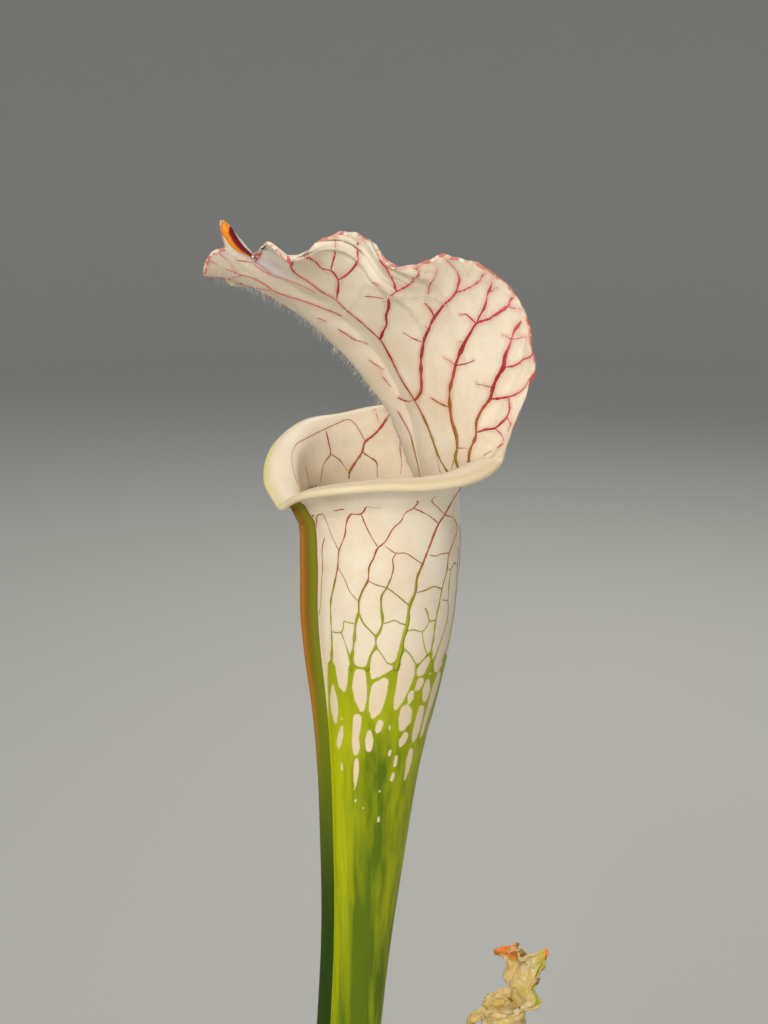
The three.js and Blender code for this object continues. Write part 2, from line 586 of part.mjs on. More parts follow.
const short = named('short_pitcher', shortPitcher(), COLOURS.straw, 0.6);
short.position.copy(SHORT_MOUTH);
short.rotation.z = SHORT_TURN;
part.add(short);

FLAT_LEAVES.forEach((leaf, k) => {
  const mesh = named(`flat_leaf_${k + 1}`, flatLeaf(leaf), COLOURS.blade, 0.5);
  mesh.position.set(leaf.foot[0], leaf.foot[1], STEM_FOOT - SOCKET_DEPTH + CLEARANCE);
  part.add(mesh);
});

export default part;
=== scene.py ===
"""The looks of a potted white-topped trumpet pitcher plant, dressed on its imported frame.

Sizes are in millimetres and meshes are written in metres. The tall pitcher is one closed sheet worked
out from the same curves as its two solids. Its veins, hairs and horn are added to it, and the short
pitcher, flat leaves, rhizome, soil and pot follow their own solids in the same way.
"""
from __future__ import annotations

import logging
import math
from dataclasses import dataclass, field
from enum import Enum
from typing import Any, Callable, Sequence, Union

import bpy
import numpy as np
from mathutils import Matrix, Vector

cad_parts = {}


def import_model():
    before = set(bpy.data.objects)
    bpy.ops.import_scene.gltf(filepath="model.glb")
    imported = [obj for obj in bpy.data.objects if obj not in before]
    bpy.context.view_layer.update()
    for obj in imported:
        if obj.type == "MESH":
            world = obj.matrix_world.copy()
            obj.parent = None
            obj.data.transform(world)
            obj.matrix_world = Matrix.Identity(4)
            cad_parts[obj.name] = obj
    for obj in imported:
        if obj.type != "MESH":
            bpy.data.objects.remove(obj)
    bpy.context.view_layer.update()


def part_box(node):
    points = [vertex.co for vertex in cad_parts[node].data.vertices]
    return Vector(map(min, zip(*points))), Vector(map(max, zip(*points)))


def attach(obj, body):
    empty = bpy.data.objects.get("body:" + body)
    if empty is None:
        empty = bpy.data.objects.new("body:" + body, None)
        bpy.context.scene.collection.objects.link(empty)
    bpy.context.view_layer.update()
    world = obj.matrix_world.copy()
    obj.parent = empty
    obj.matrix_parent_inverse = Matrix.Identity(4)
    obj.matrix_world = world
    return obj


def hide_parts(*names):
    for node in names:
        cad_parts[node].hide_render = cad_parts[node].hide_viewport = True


Array = np.ndarray
Colour = tuple[float, float, float, float]
Table = Sequence[Sequence[float]]
Triple = tuple[float, float, float]
Piece = bpy.types.Object
Skin = bpy.types.Material
Socket = bpy.types.NodeSocket

MILLIMETRE = 0.001
BODY = "root"
# Rows of the sheet at its rim and at the top of the tube, and a gap that counts as far, in millimetres
RIM_ROW = 8.0
TUBE_ROW = 3.0
FAR = 9.0
log = logging.getLogger("pitcher_plant")


# Numbers and curves

def smooth(x: Array) -> Array:
    """Returns 0 below 0, 1 above 1, and the cubic 3x^2 - 2x^3 between."""
    x = np.clip(x, 0.0, 1.0)
    return x * x * (3.0 - 2.0 * x)


def rise(x: Array, low: float, high: float) -> Array:
    """Returns 0 at low, 1 at high, and the smooth step between. The high may be the lesser."""
    return smooth((x - low) / (high - low))


def lerp(a: Any, b: Any, share: Any) -> Any:
    """Returns the value that is that share of the way from a to b."""
    return a + (b - a) * share


def bell(x: Array, middle: float, width: float) -> Array:
    """Returns 1 at the middle, falling off on both sides over about the width."""
    return np.exp(-(((x - middle) / width) ** 2))


def from_front(place: Array) -> Array:
    """Returns a place's distance from the front of the lip, by the shorter way round the rim."""
    return np.minimum(place, 1 - place)


def whole_round(half: Array) -> Array:
    """Returns places all the way round the rim, from those of its near half."""
    return np.concatenate([half, 1 - half[-2:0:-1]])


def unit(vectors: Array) -> Array:
    """Returns the vectors at length 1."""
    return vectors / np.maximum(np.linalg.norm(vectors, axis=-1, keepdims=True), 1e-9)


def slopes(values: Array, step: Array) -> Array:
    """Returns a curve's slope at its knots: the slopes beside each, weighed by the other's step."""
    slope = np.diff(values, axis=0) / step
    tangent = np.concatenate([slope[:1], slope])
    tangent[1:-1] = (slope[:-1] * step[1:] + slope[1:] * step[:-1]) / (step[1:] + step[:-1])
    return tangent


def spline(table: Table, place: Array) -> Array:
    """Follows a smooth curve of cubics through the rows of a table.

    Args:
        table: rows of a place and its values, with rising places.
        place: where on the curve, of any shape.

    Returns:
        The values, with a last axis for the columns, or without it where there is one column.
    """
    rows = np.asarray(table, float)
    knots, values = rows[:, 0], rows[:, 1:]
    step = np.diff(knots)[:, None]
    tangent = slopes(values, step)
    place = np.clip(np.asarray(place, float), knots[0], knots[-1])
    i = np.clip(np.searchsorted(knots, place, side="right") - 1, 0, len(step) - 1)
    u = ((place - knots[i]) / step[i, 0])[..., None]
    curve = hermite(values[i], values[i + 1], tangent[i] * step[i], tangent[i + 1] * step[i], u)
    return curve[..., 0] if curve.shape[-1] == 1 else curve


def hermite(start: Array, end: Array, leave: Array, arrive: Array, u: Array) -> Array:
    """Returns the cubic from start to end that leaves and arrives with the given slopes."""
    u2 = u * u
    u3 = u2 * u
    far = 3 * u2 - 2 * u3
    return (1 - far) * start + (u3 - 2 * u2 + u) * leave + far * end + (u3 - u2) * arrive


def resample(points: Array, spacing: float) -> Array:
    """Returns points an even distance apart on a smooth curve through the given ones."""
    moved = np.linalg.norm(np.diff(points, axis=0), axis=1) > 1e-3
    points = points[np.concatenate([[True], moved])]
    chord = np.concatenate([[0.0], np.cumsum(np.linalg.norm(np.diff(points, axis=0), axis=1))])
    count = max(int(chord[-1] / spacing) + 1, 3)
    if len(points) < 3:
        share = np.linspace(0, 1, count)[:, None]
        return points[0] * (1 - share) + points[-1] * share
    return spline(np.column_stack([chord, points]), np.linspace(0, chord[-1], count))


def ripple(points: Array, sizes: Sequence[float], seed: int) -> Array:
    """Gives an even, gently random value of about -1 to 1 to each point in space.

    It is a mean of sines along seeded directions, four for each wavelength.

    Args:
        points: places in millimetres, with the last axis x, y, z.
        sizes: wavelengths in millimetres.
        seed: picks the directions.

    Returns:
        One value a point.
    """
    draw = np.random.default_rng(seed)
    total = np.zeros(points.shape[:-1])
    for size in sizes:
        heading = unit(draw.normal(size=(4, 3))) * (2 * math.pi / size)
        total = total + np.sin(points @ heading.T + draw.uniform(0, 6.3, 4)).mean(-1)
    return total * 1.6 / math.sqrt(len(sizes))


# Meshes

@dataclass
class Shell:
    """Points and faces of one mesh, gathered in millimetres, with named values on its points."""

    points: list[Array] = field(default_factory=list)
    faces: list[Array] = field(default_factory=list)
    values: list[dict[str, Array]] = field(default_factory=list)
    count: int = 0

    def add(self, points: Array, faces: Sequence[Array], **values: Any) -> None:
        """Adds points, and faces that count from the first of them.

        Args:
            points: places, one a row.
            faces: arrays of quads or triangles.
            **values: numbers for the points, single or one a point.
        """
        points = np.asarray(points, float).reshape(-1, 3)
        self.faces += [np.asarray(part, int) + self.count for part in faces if len(part)]
        self.points.append(points)
        self.values.append({k: np.broadcast_to(np.ravel(v), len(points)) for k, v in values.items()})
        self.count += len(points)

    def rings(self, rings: Array, caps: tuple[bool, bool] = (True, True), **values: Any) -> None:
        """Adds a closed body made of rings of points, each closed on itself and joined to the next.

        Args:
            rings: places, as rings by points by 3, running so that the faces look outwards.
            caps: whether the first and the last ring are filled by a fan to their middle.
            **values: numbers for the points, single or rings by points.
        """
        total, round_ = rings.shape[:2]
        index = np.arange(total * round_).reshape(total, round_)
        here, there = index[:-1], index[1:]
        quads = np.stack([here, np.roll(here, -1, 1), np.roll(there, -1, 1), there], -1).reshape(-1, 4)
        points = rings.reshape(-1, 3)
        spread = {k: np.broadcast_to(v, (total, round_)).reshape(-1) for k, v in values.items()}
        fans = []
        for wanted, row, turn in ((caps[0], 0, -1), (caps[1], total - 1, 1)):
            if wanted:
                ring = index[row][::turn]
                hub = np.full(round_, len(points))
                fans.append(np.stack([hub, ring, np.roll(ring, -1)], -1))
                points = np.concatenate([points, rings[row].mean(0)[None]])
                spread = {k: np.append(v, v[index[row]].mean()) for k, v in spread.items()}
        self.add(points, [quads, *fans], **spread)

    def mesh(self, name: str, soft: bool = True) -> bpy.types.Mesh:
        """Returns the gathered points and faces as a mesh in metres, smooth where soft."""
        made = bpy.data.meshes.new(name)
        faces = [face for part in self.faces for face in part.tolist()]
        made.from_pydata(np.concatenate(self.points) * MILLIMETRE, [], faces)
        made.polygons.foreach_set("use_smooth", np.full(len(made.polygons), soft))
        return made

    def build(self, name: str, finish: Skin, replaces: Sequence[str]) -> Piece:
        """Makes the mesh object with its values and sets it on the frame.

        Args:
            name: the piece's name.
            finish: its material.
            replaces: the solids that it stands for.

        Returns:
            The object.
        """
        mesh = self.mesh(name)
        for key in sorted({key for part in self.values for key in part}):
            layer = mesh.attributes.new(key, "FLOAT", "POINT")
            numbers = [part.get(key, np.zeros(len(p))) for part, p in zip(self.values, self.points)]
            layer.data.foreach_set("value", np.concatenate(numbers).astype(np.float32))
        mesh.materials.append(finish)
        mesh.update()
        made = stand(name, mesh)
        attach(made, BODY)
        if replaces:
            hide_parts(*replaces)
        triangles = sum(len(part) * (part.shape[1] - 2) for part in self.faces)
        log.info("%s: %d triangles", name, triangles)
        return made


def stand(name: str, data: Any) -> Piece:
    """Returns a new object that holds the data, linked to the scene."""
    made = bpy.data.objects.new(name, data)
    bpy.context.scene.collection.objects.link(made)
    return made


def turned(section: Any, sides: int) -> Array:
    """Returns the rings that a section of radius and height sweeps round the upright axis."""
    radius, height = np.asarray(section, float).T[..., None]
    turn = np.linspace(0, 2 * math.pi, sides, endpoint=False)
    return np.stack([radius * np.cos(turn), radius * np.sin(turn), height + 0 * turn], -1)


def rolled_rim(end: Array, before: Array, normal: Array, radius: Array, wall: float, steps: int) -> Array:
    """Returns rings that close a rim along a circle that touches the inner face.

    Args:
        end: the sheet's last ring.
        before: the ring before it.
        normal: the outward normals at the last ring.
        radius: the circle's, one a point.
        wall: thickness of the sheet.
        steps: how many rings.

    Returns:
        The rings, from the outer face to the inner.
    """
    radius = radius[None, :, None]
    raw = end - before
    out = unit(raw - normal * (raw * normal).sum(-1, keepdims=True))
    middle = end + normal * (radius[0] - wall / 2)
    sweep = 2 * math.pi - np.arccos((radius - wall) / radius)
    turn = sweep * (np.arange(1, steps + 1) / steps)[:, None, None]
    return (middle - normal * radius * np.cos(turn) + out * radius * np.sin(turn))[::-1]


# Shader maths

def paint(red: int, green: int, blue: int) -> Colour:
    """Returns a colour in linear light from its red, green and blue of 0 to 255."""
    part = [c / 255 for c in (red, green, blue)]
    linear = [c / 12.92 if c <= 0.04045 else ((c + 0.055) / 1.055) ** 2.4 for c in part]
    return (*linear, 1.0)


def arithmetic(operation: str, swapped: bool = False) -> Callable[["Term", "Number"], "Term"]:
    """Returns a method of Term that sets a Math node between it and another number.

    Args:
        operation: what the node does.
        swapped: whether the other number comes first.

    Returns:
        The method.
    """
    def apply(self: "Term", other: "Number") -> "Term":
        """Returns the node's result."""
        return self.math(operation, *((other, self) if swapped else (self, other)))

    return apply


class Term:
    """A number that varies over a surface: a node's output, with arithmetic that adds Math nodes."""

    def __init__(self, dress: "Dress", socket: Socket) -> None:
        """Wraps a socket of a dress's tree."""
        self.dress = dress
        self.socket = socket

    def math(self, operation: str, *numbers: "Number") -> "Term":
        """Returns a Math node's result on the numbers."""
        made = self.dress.node("ShaderNodeMath", {"operation": operation}, dict(enumerate(numbers)))
        return Term(self.dress, made.outputs[0])

    __add__ = __radd__ = arithmetic("ADD")
    __sub__ = arithmetic("SUBTRACT")
    __rsub__ = arithmetic("SUBTRACT", swapped=True)
    __mul__ = __rmul__ = arithmetic("MULTIPLY")
    most = arithmetic("MAXIMUM")
    least = arithmetic("MINIMUM")

    def absolute(self) -> "Term":
        """Returns the number without its sign."""
        return self.math("ABSOLUTE", self)

    def rise(self, low: float, high: float) -> "Term":
        """Returns 0 where this is at low, 1 where it is at high, and a smooth step between."""
        settings = {"interpolation_type": "SMOOTHSTEP"}
        made = self.dress.node("ShaderNodeMapRange", settings, {0: self, 1: low, 2: high})
        return Term(self.dress, made.outputs[0])


Number = Union[float, Term]


class Dress:
    """A material under construction: its node tree, with the few calls that fill it."""

    def __init__(self, name: str) -> None:
        """Starts an empty material."""
        self.material = bpy.data.materials.new(name)
        self.material.use_nodes = True
        self.tree = self.material.node_tree
        self.tree.nodes.clear()

    def node(self, kind: str, settings: dict[str, Any] | None = None,
             sockets: dict[Any, Any] | None = None) -> bpy.types.Node:
        """Adds a node.

        Args:
            kind: the node's type.
            settings: properties set first; "stops" fills a colour ramp.
            sockets: values or links by input name or number.

        Returns:
            The node.
        """
        made = self.tree.nodes.new(kind)
        for key, value in (settings or {}).items():
            if key == "stops":
                ramp = made.color_ramp.elements
                while len(ramp) < len(value):
                    ramp.new(1.0)
                for stop, (position, colour) in zip(ramp, value):
                    stop.position = position
                    stop.color = colour
            else:
                setattr(made, key, value)
        for key, value in (sockets or {}).items():
            if isinstance(value, Term):
                value = value.socket
            if isinstance(value, Socket):
                self.tree.links.new(value, made.inputs[key])
            else:
                made.inputs[key].default_value = value
        return made

    def value(self, name: str) -> Term:
        """Returns a named value of the mesh's points."""
        made = self.node("ShaderNodeAttribute", {"attribute_name": name, "attribute_type": "GEOMETRY"})
        return Term(self, made.outputs["Fac"])

    def place(self, stretch: Triple = (1, 1, 1)) -> Socket:
        """Returns the point's place on the object, in millimetres, stretched along each axis."""
        source = self.node("ShaderNodeTexCoord")
        scale = tuple(s / MILLIMETRE for s in stretch)
        made = self.node("ShaderNodeMapping", {}, {"Vector": source.outputs["Object"], "Scale": scale})
        return made.outputs[0]

    def height(self) -> Term:
        """Returns the point's height in millimetres."""
        made = self.node("ShaderNodeSeparateXYZ", {}, {0: self.place()})
        return Term(self, made.outputs[2])

    def noise(self, size: float, detail: float = 3.0, stretch: Triple = (1, 1, 1)) -> Term:
        """Returns a noise of 0 to 1 whose lumps are about that many millimetres across."""
        sockets = {"Vector": self.place(stretch), "Scale": 1 / size, "Detail": detail, "Roughness": 0.55}
        made = self.node("ShaderNodeTexNoise", {}, sockets)
        return Term(self, made.outputs["Fac"])


    def mix(self, first: Any, second: Any, share: Number) -> Socket:
        """Returns a colour that is that share of the way from the first to the second."""
        made = self.node("ShaderNodeMix", {"data_type": "RGBA"}, {0: share, 6: first, 7: second})
        return made.outputs[2]

    def coats(self, skin: Any, *layers: tuple[Any, Number]) -> Any:
        """Returns the colour with each layer's colour laid over it in turn by the layer's share."""
        for colour, share in layers:
            skin = self.mix(skin, colour, share)
        return skin

    def ramp(self, share: Term, stops: Sequence[tuple[float, Colour]]) -> Socket:
        """Returns a colour from a ramp of stops, by a number of 0 to 1."""
        made = self.node("ShaderNodeValToRGB", {"stops": stops}, {0: share})
        return made.outputs[0]

    def finish(self, colour: Any, roughness: Number, bump: Term | None = None, relief: float = 0.1,
               **constants: Any) -> Skin:
        """Closes the material with its main shader.

        Args:
            colour: base colour, or the socket that gives it.
            roughness: 0 for a mirror to 1 for chalk.
            bump: height of 0 to 1 for fine relief.
            relief: millimetres that a height of 1 stands for.
            **constants: other sockets' fixed values, with _ for a space.

        Returns:
            The material.
        """
        sockets: dict[Any, Any] = {"Base Color": colour, "Roughness": roughness}
        if bump is not None:
            made = self.node("ShaderNodeBump", {}, {"Distance": relief * MILLIMETRE, "Height": bump})
            sockets["Normal"] = made.outputs[0]
        sockets.update({key.replace("_", " "): value for key, value in constants.items()})
        shader = self.node("ShaderNodeBsdfPrincipled", {}, sockets)
        self.node("ShaderNodeOutputMaterial", {}, {"Surface": shader.outputs[0]})
        return self.material


# Finishes

VEIN_STOPS = (
    (0.0, paint(156, 166, 4)), (0.14, paint(150, 132, 10)), (0.28, paint(160, 98, 22)),
    (0.42, paint(178, 78, 40)), (0.6, paint(168, 42, 42)), (0.8, paint(190, 42, 58)),
    (1.0, paint(218, 84, 96)),
)


@dataclass(frozen=True)
class TallLeafFinish:
    """The tall pitcher's skin: cream white above with pink-edged veins, green below with pale windows."""

    cream: Colour = paint(243, 234, 214)
    shade: Colour = paint(230, 212, 184)
    lavender: Colour = paint(226, 220, 232)
    lip: Colour = paint(232, 218, 184)
    lip_green: Colour = paint(205, 212, 110)
    window: Colour = paint(226, 208, 178)
    pink: Colour = paint(214, 92, 88)
    rim_red: Colour = paint(196, 40, 62)
    bright_green: Colour = paint(176, 184, 0)
    deep_green: Colour = paint(88, 110, 0)
    wing_green: Colour = paint(112, 122, 0)
    wing_olive: Colour = paint(124, 88, 2)
    wing_low: Colour = paint(38, 62, 0)
    wing_orange: Colour = paint(168, 100, 10)
    foot_red: Colour = paint(104, 52, 34)
    horn: Colour = paint(232, 140, 8)
    horn_dark: Colour = paint(112, 14, 30)
    mouth_height: float = 410.0

    def make(self) -> Skin:
        """Returns the material."""
        dress = Dress("tall_pitcher_skin")
        height = dress.height() - self.mouth_height
        depth = height * -1
        cloud = dress.noise(9.0, 4.0)
        fine = dress.noise(1.3, 3.0)
        streak = dress.noise(1.7, 3.0, (1, 1, 0.05))
        broad = dress.noise(5.5, 2.0, (1, 1, 0.12))
        rim = dress.value("rim")
        halo = (1 - dress.value("gap").rise(0.0, 1.1)) * height.rise(8, 34)
        blush = (1 - rim.rise(0.1, 1.7)) * dress.noise(2.6).rise(0.4, 0.64)
        line = (1 - rim.rise(0.0, 0.26)) * dress.noise(1.6).rise(0.42, 0.56)
        lip_edge = dress.value("lip_green") * dress.noise(4.0).rise(0.36, 0.58)
        white = dress.coats(
            self.cream,
            (self.shade, cloud.rise(0.35, 0.75) * 0.6),
            (self.window, depth.rise(12, 46)),
            (self.lip, dress.value("roll")),
            (self.lip_green, lip_edge * 0.75),
            (self.lavender, dress.value("spur_face") * 0.8),
            (self.pink, halo * 0.3),
            (self.pink, blush * 0.45),
            (self.rim_red, line * 0.7),
        )
        veins = dress.ramp(height.rise(-34, 6) * 0.42, VEIN_STOPS)
        # Tone of the green: random streaks and lumps, darker on the painted shade stripe (the centre value),
        # lighter on the painted light band, and darker lower down.
        tone = broad.rise(0.36, 0.66) * 0.3 + streak.rise(0.35, 0.7) * 0.4 - dress.value("glow") * 0.35
        tone = tone + dress.value("centre") * 0.6 + depth.rise(60, 140) * 0.45
        green = dress.mix(self.bright_green, self.deep_green, tone.most(0.0).least(1.0))
        wing = dress.value("wing")
        olive = wing.rise(0.3, 0.6) * height.rise(-60, -20)
        low = (self.wing_low, depth.rise(40, 110))
        keel = dress.coats(self.wing_green, low, (self.wing_olive, olive * 0.85))
        seam = (1 - (wing - 0.08).absolute().rise(0.02, 0.1)) * height.rise(-40, -12)
        edge = wing.rise(0.74, 0.92) * (height + 20 * fine).rise(-62, -30) * (1 - height.rise(-4, 2))
        horn = dress.mix(self.horn_dark, self.horn, dress.value("horn_side").rise(0.34, 0.6))
        skin = dress.coats(
            veins,
            (green, depth.rise(26, 62)),
            (self.foot_red, depth.rise(255, 312) * 0.6),
            (white, dress.value("window").rise(-0.1, 0.16)),
            (keel, wing.rise(0.02, 0.1)),
            (self.wing_olive, seam * 0.9),
            (self.wing_orange, edge * 0.9),
            (horn, dress.value("horn").rise(0.25, 0.6)),
        )
        roughness = 0.44 + 0.12 * fine - 0.06 * dress.value("roll")
        bump = streak * 0.5 + fine * 0.5 + cloud * 0.5
        return dress.finish(skin, roughness, bump, 0.14, Subsurface_Weight=0.5, Subsurface_Scale=0.0012,
                            Subsurface_Radius=(1.0, 0.9, 0.7), Specular_IOR_Level=0.22)


@dataclass(frozen=True)
class VeinFinish:
    """The raised veins: olive at the lip, brown, then crimson and pink towards the hood's margin."""

    def make(self) -> Skin:
        """Returns the material."""
        dress = Dress("vein_skin")
        shade = dress.value("shade") + (dress.noise(2.6, 3.0) - 0.5) * 0.28
        colour = dress.ramp(shade, VEIN_STOPS)
        roughness = 0.42 + 0.1 * dress.noise(0.8)
        return dress.finish(colour, roughness, dress.noise(0.7), 0.03, Specular_IOR_Level=0.2)


@dataclass(frozen=True)
class HairFinish:
    """Fine clear white hairs."""

    root: Colour = paint(236, 226, 204)
    tip: Colour = paint(250, 246, 236)

    def make(self) -> Skin:
        """Returns the material."""
        dress = Dress("hair_skin")
        colour = dress.mix(self.root, self.tip, dress.value("length"))
        return dress.finish(colour, 0.35 + 0.2 * dress.noise(1.0))


@dataclass(frozen=True)
class ShortLeafFinish:
    """The short pitcher's skin: dry straw with olive veins, orange tips and a green back."""

    straw: Colour = paint(208, 178, 108)
    pale: Colour = paint(222, 202, 158)
    yellow: Colour = paint(196, 174, 44)
    olive: Colour = paint(124, 104, 14)
    green: Colour = paint(168, 176, 24)
    stem_green: Colour = paint(120, 136, 8)
    orange: Colour = paint(232, 132, 44)
    brown: Colour = paint(168, 118, 50)

    def make(self) -> Skin:
        """Returns the material."""
        dress = Dress("short_pitcher_skin")
        patch = dress.noise(3.2, 4.0)
        fine = dress.noise(0.8)
        streak = dress.noise(0.9, 3.0, (1, 1, 0.05))
        horn = dress.value("horn")
        green = dress.mix(self.green, self.stem_green, streak.rise(0.36, 0.64))
        skin = dress.coats(
            self.straw,
            (self.pale, patch.rise(0.42, 0.62)),
            (self.yellow, dress.noise(2.4).rise(0.5, 0.66) * 0.7),
            (self.olive, dress.value("crease") * patch.rise(0.4, 0.66) * 0.7),
            (green, (dress.value("stem") + dress.value("back") * 0.9).least(1.0)),
            (self.green, horn.rise(0.1, 0.4) * 0.6),
            (self.orange, (dress.value("tip") + (fine - 0.5) * 0.4).rise(0.35, 0.7)),
            (self.orange, horn.rise(0.62, 0.85)),
            (self.brown, dress.value("rim") * patch.rise(0.5, 0.62) * 0.7),
        )
        bump = fine * 0.6 + streak * 0.5 + patch * 0.8
        return dress.finish(skin, 0.56 + 0.14 * fine, bump, 0.22,
                            Subsurface_Weight=0.1, Subsurface_Scale=0.001)


@dataclass(frozen=True)
class FlatLeafFinish:
    """A flat leaf: green with parallel veins, a pale midrib, a red-tinged margin and a dry tip."""

    green: Colour = paint(92, 124, 22)
    dark: Colour = paint(62, 92, 16)
    pale: Colour = paint(150, 168, 62)
    red: Colour = paint(136, 56, 34)
    dry: Colour = paint(158, 122, 66)

    def make(self) -> Skin:
        """Returns the material."""
        dress = Dress("flat_leaf_skin")
        patch = dress.noise(12.0, 3.0)
        skin = dress.coats(
            self.green,
            (self.dark, patch.rise(0.4, 0.65) * 0.8),
            (self.pale, dress.value("line").rise(0.4, 0.9) * 0.5),
            (self.pale, dress.value("rib").rise(0.4, 0.9) * 0.75),
            (self.red, dress.value("edge").rise(0.7, 1.0) * patch.rise(0.35, 0.6) * 0.8),
            (self.dry, (dress.value("tip") + (dress.noise(2.0) - 0.5) * 0.2).rise(0.86, 0.96)),
        )
        return dress.finish(skin, 0.42 + 0.14 * patch, dress.noise(0.8, 3.0, (1, 1, 0.1)), 0.08,
                            Subsurface_Weight=0.08, Subsurface_Scale=0.001)


@dataclass(frozen=True)
class RhizomeFinish:
    """The rhizome's bark and its papery old sheaths."""

    bark: Colour = paint(82, 56, 36)
    dark: Colour = paint(40, 27, 18)
    sheath: Colour = paint(156, 116, 72)
    red: Colour = paint(126, 58, 40)

    def make(self) -> Skin:
        """Returns the material."""
        dress = Dress("rhizome_skin")
        grain = dress.noise(1.6, 4.0)
        streak = dress.noise(0.7, 3.0, (1, 1, 0.12))
        paper = dress.mix(self.sheath, self.red, streak.rise(0.4, 0.62))
        shown = dress.value("sheath") * dress.noise(4.0).rise(0.25, 0.5)
        skin = dress.coats(self.bark, (self.dark, grain.rise(0.4, 0.65)), (paper, shown))
        return dress.finish(skin, 0.72 + 0.15 * grain, grain * 0.7 + streak * 0.5, 0.4)


@dataclass(frozen=True)
class SoilFinish:
    """Damp peat: its ground and crumbs, white grit, and live moss, by the piece's own values."""

    peat: Colour = paint(58, 40, 28)
    wet: Colour = paint(26, 18, 13)
    bark: Colour = paint(98, 66, 40)
    grit: Colour = paint(214, 208, 194)
    moss: Colour = paint(106, 130, 34)
    moss_tip: Colour = paint(172, 176, 74)

    def make(self) -> Skin:
        """Returns the material."""
        dress = Dress("soil_crumb")
        grain = dress.noise(1.2, 5.0)
        patch = dress.noise(14.0, 3.0)
        green = dress.mix(self.moss, self.moss_tip, dress.value("moss_tip"))
        skin = dress.coats(
            self.peat,
            (self.wet, (grain * 0.6 + patch * 0.4).rise(0.4, 0.62)),
            (self.bark, dress.value("bark") * grain.rise(0.3, 0.6)),
            (self.grit, dress.value("grit") * (0.75 + 0.25 * grain)),
            (green, dress.value("moss")),
        )
        return dress.finish(skin, 0.86 + 0.1 * grain, grain, 0.5)


@dataclass(frozen=True)
class PotFinish:
    """Plain dark moulded plastic with a faint haze and dust towards the foot."""

    plastic: Colour = paint(46, 48, 50)
    haze: Colour = paint(72, 74, 75)
    dust: Colour = paint(120, 108, 92)

    def make(self) -> Skin:
        """Returns the material."""
        dress = Dress("pot_plastic")
        haze = dress.noise(26.0, 4.0)
        speck = dress.noise(1.5, 4.0).rise(0.58, 0.72) * (1 - dress.height().rise(3, 30))
        skin = dress.coats(self.plastic, (self.haze, haze.rise(0.4, 0.72) * 0.6), (self.dust, speck * 0.7))
        scratch = dress.noise(1.2, 3.0, (1, 1, 0.06))
        return dress.finish(skin, 0.46 + 0.16 * haze, dress.noise(0.5, 2.0) * 0.6 + scratch * 0.4, 0.05,
                            Specular_IOR_Level=0.45)


# The photograph's eye

@dataclass(frozen=True)
class PhotoEye:
    """The camera that sees the plant as the photograph does, and where that puts a point in its frame."""

    target: Triple = (10.0, -6.0, 410.0)
    distance: float = 380.0
    elevation: float = math.radians(15)
    frame: tuple[float, float] = (768.0, 1024.0)
    pixel: float = 0.235
    sensor: float = 36.0

    @property
    def focal_pixels(self) -> float:
        """Returns the focal length in pixels: the target's distance over a pixel's size there."""
        return self.distance / self.pixel

    @property
    def axes(self) -> tuple[Array, Array, Array]:
        """Returns the directions of view, right and up."""
        s, c = math.sin(self.elevation), math.cos(self.elevation)
        return np.array([0, c, -s]), np.array([1.0, 0, 0]), np.array([0, s, c])

    @property
    def position(self) -> Array:
        """Returns the camera's place."""
        return np.array(self.target) - self.axes[0] * self.distance

    def project(self, points: Array) -> tuple[Array, Array]:
        """Returns the pixels of points and their depths."""
        view, right, up = self.axes
        offset = points - self.position
        depth = offset @ view
        scale = self.focal_pixels / depth
        across = self.frame[0] / 2 + scale * (offset @ right)
        down = self.frame[1] / 2 - scale * (offset @ up)
        return np.stack([across, down], -1), depth

    def unproject(self, pixels: Array, depth: Array) -> Array:
        """Returns the points that show at pixels, at depths."""
        view, right, up = self.axes
        across = (pixels[:, :1] - self.frame[0] / 2) / self.focal_pixels
        rise = (self.frame[1] / 2 - pixels[:, 1:]) / self.focal_pixels
        return self.position + depth[:, None] * (view + across * right + rise * up)

    def make(self) -> None:
        """Creates the camera and makes it the scene's."""
        lens = bpy.data.cameras.new("photo_eye")
        lens.sensor_fit = "AUTO"
        lens.sensor_width = self.sensor
        lens.lens = self.sensor * self.focal_pixels / max(self.frame)
        lens.clip_start = 0.01
        lens.clip_end = 50.0
        eye = stand("photo_eye", lens)
        eye.location = self.position * MILLIMETRE
        eye.rotation_euler = (math.pi / 2 - self.elevation, 0, 0)
        bpy.context.scene.camera = eye


# The tall pitcher's form

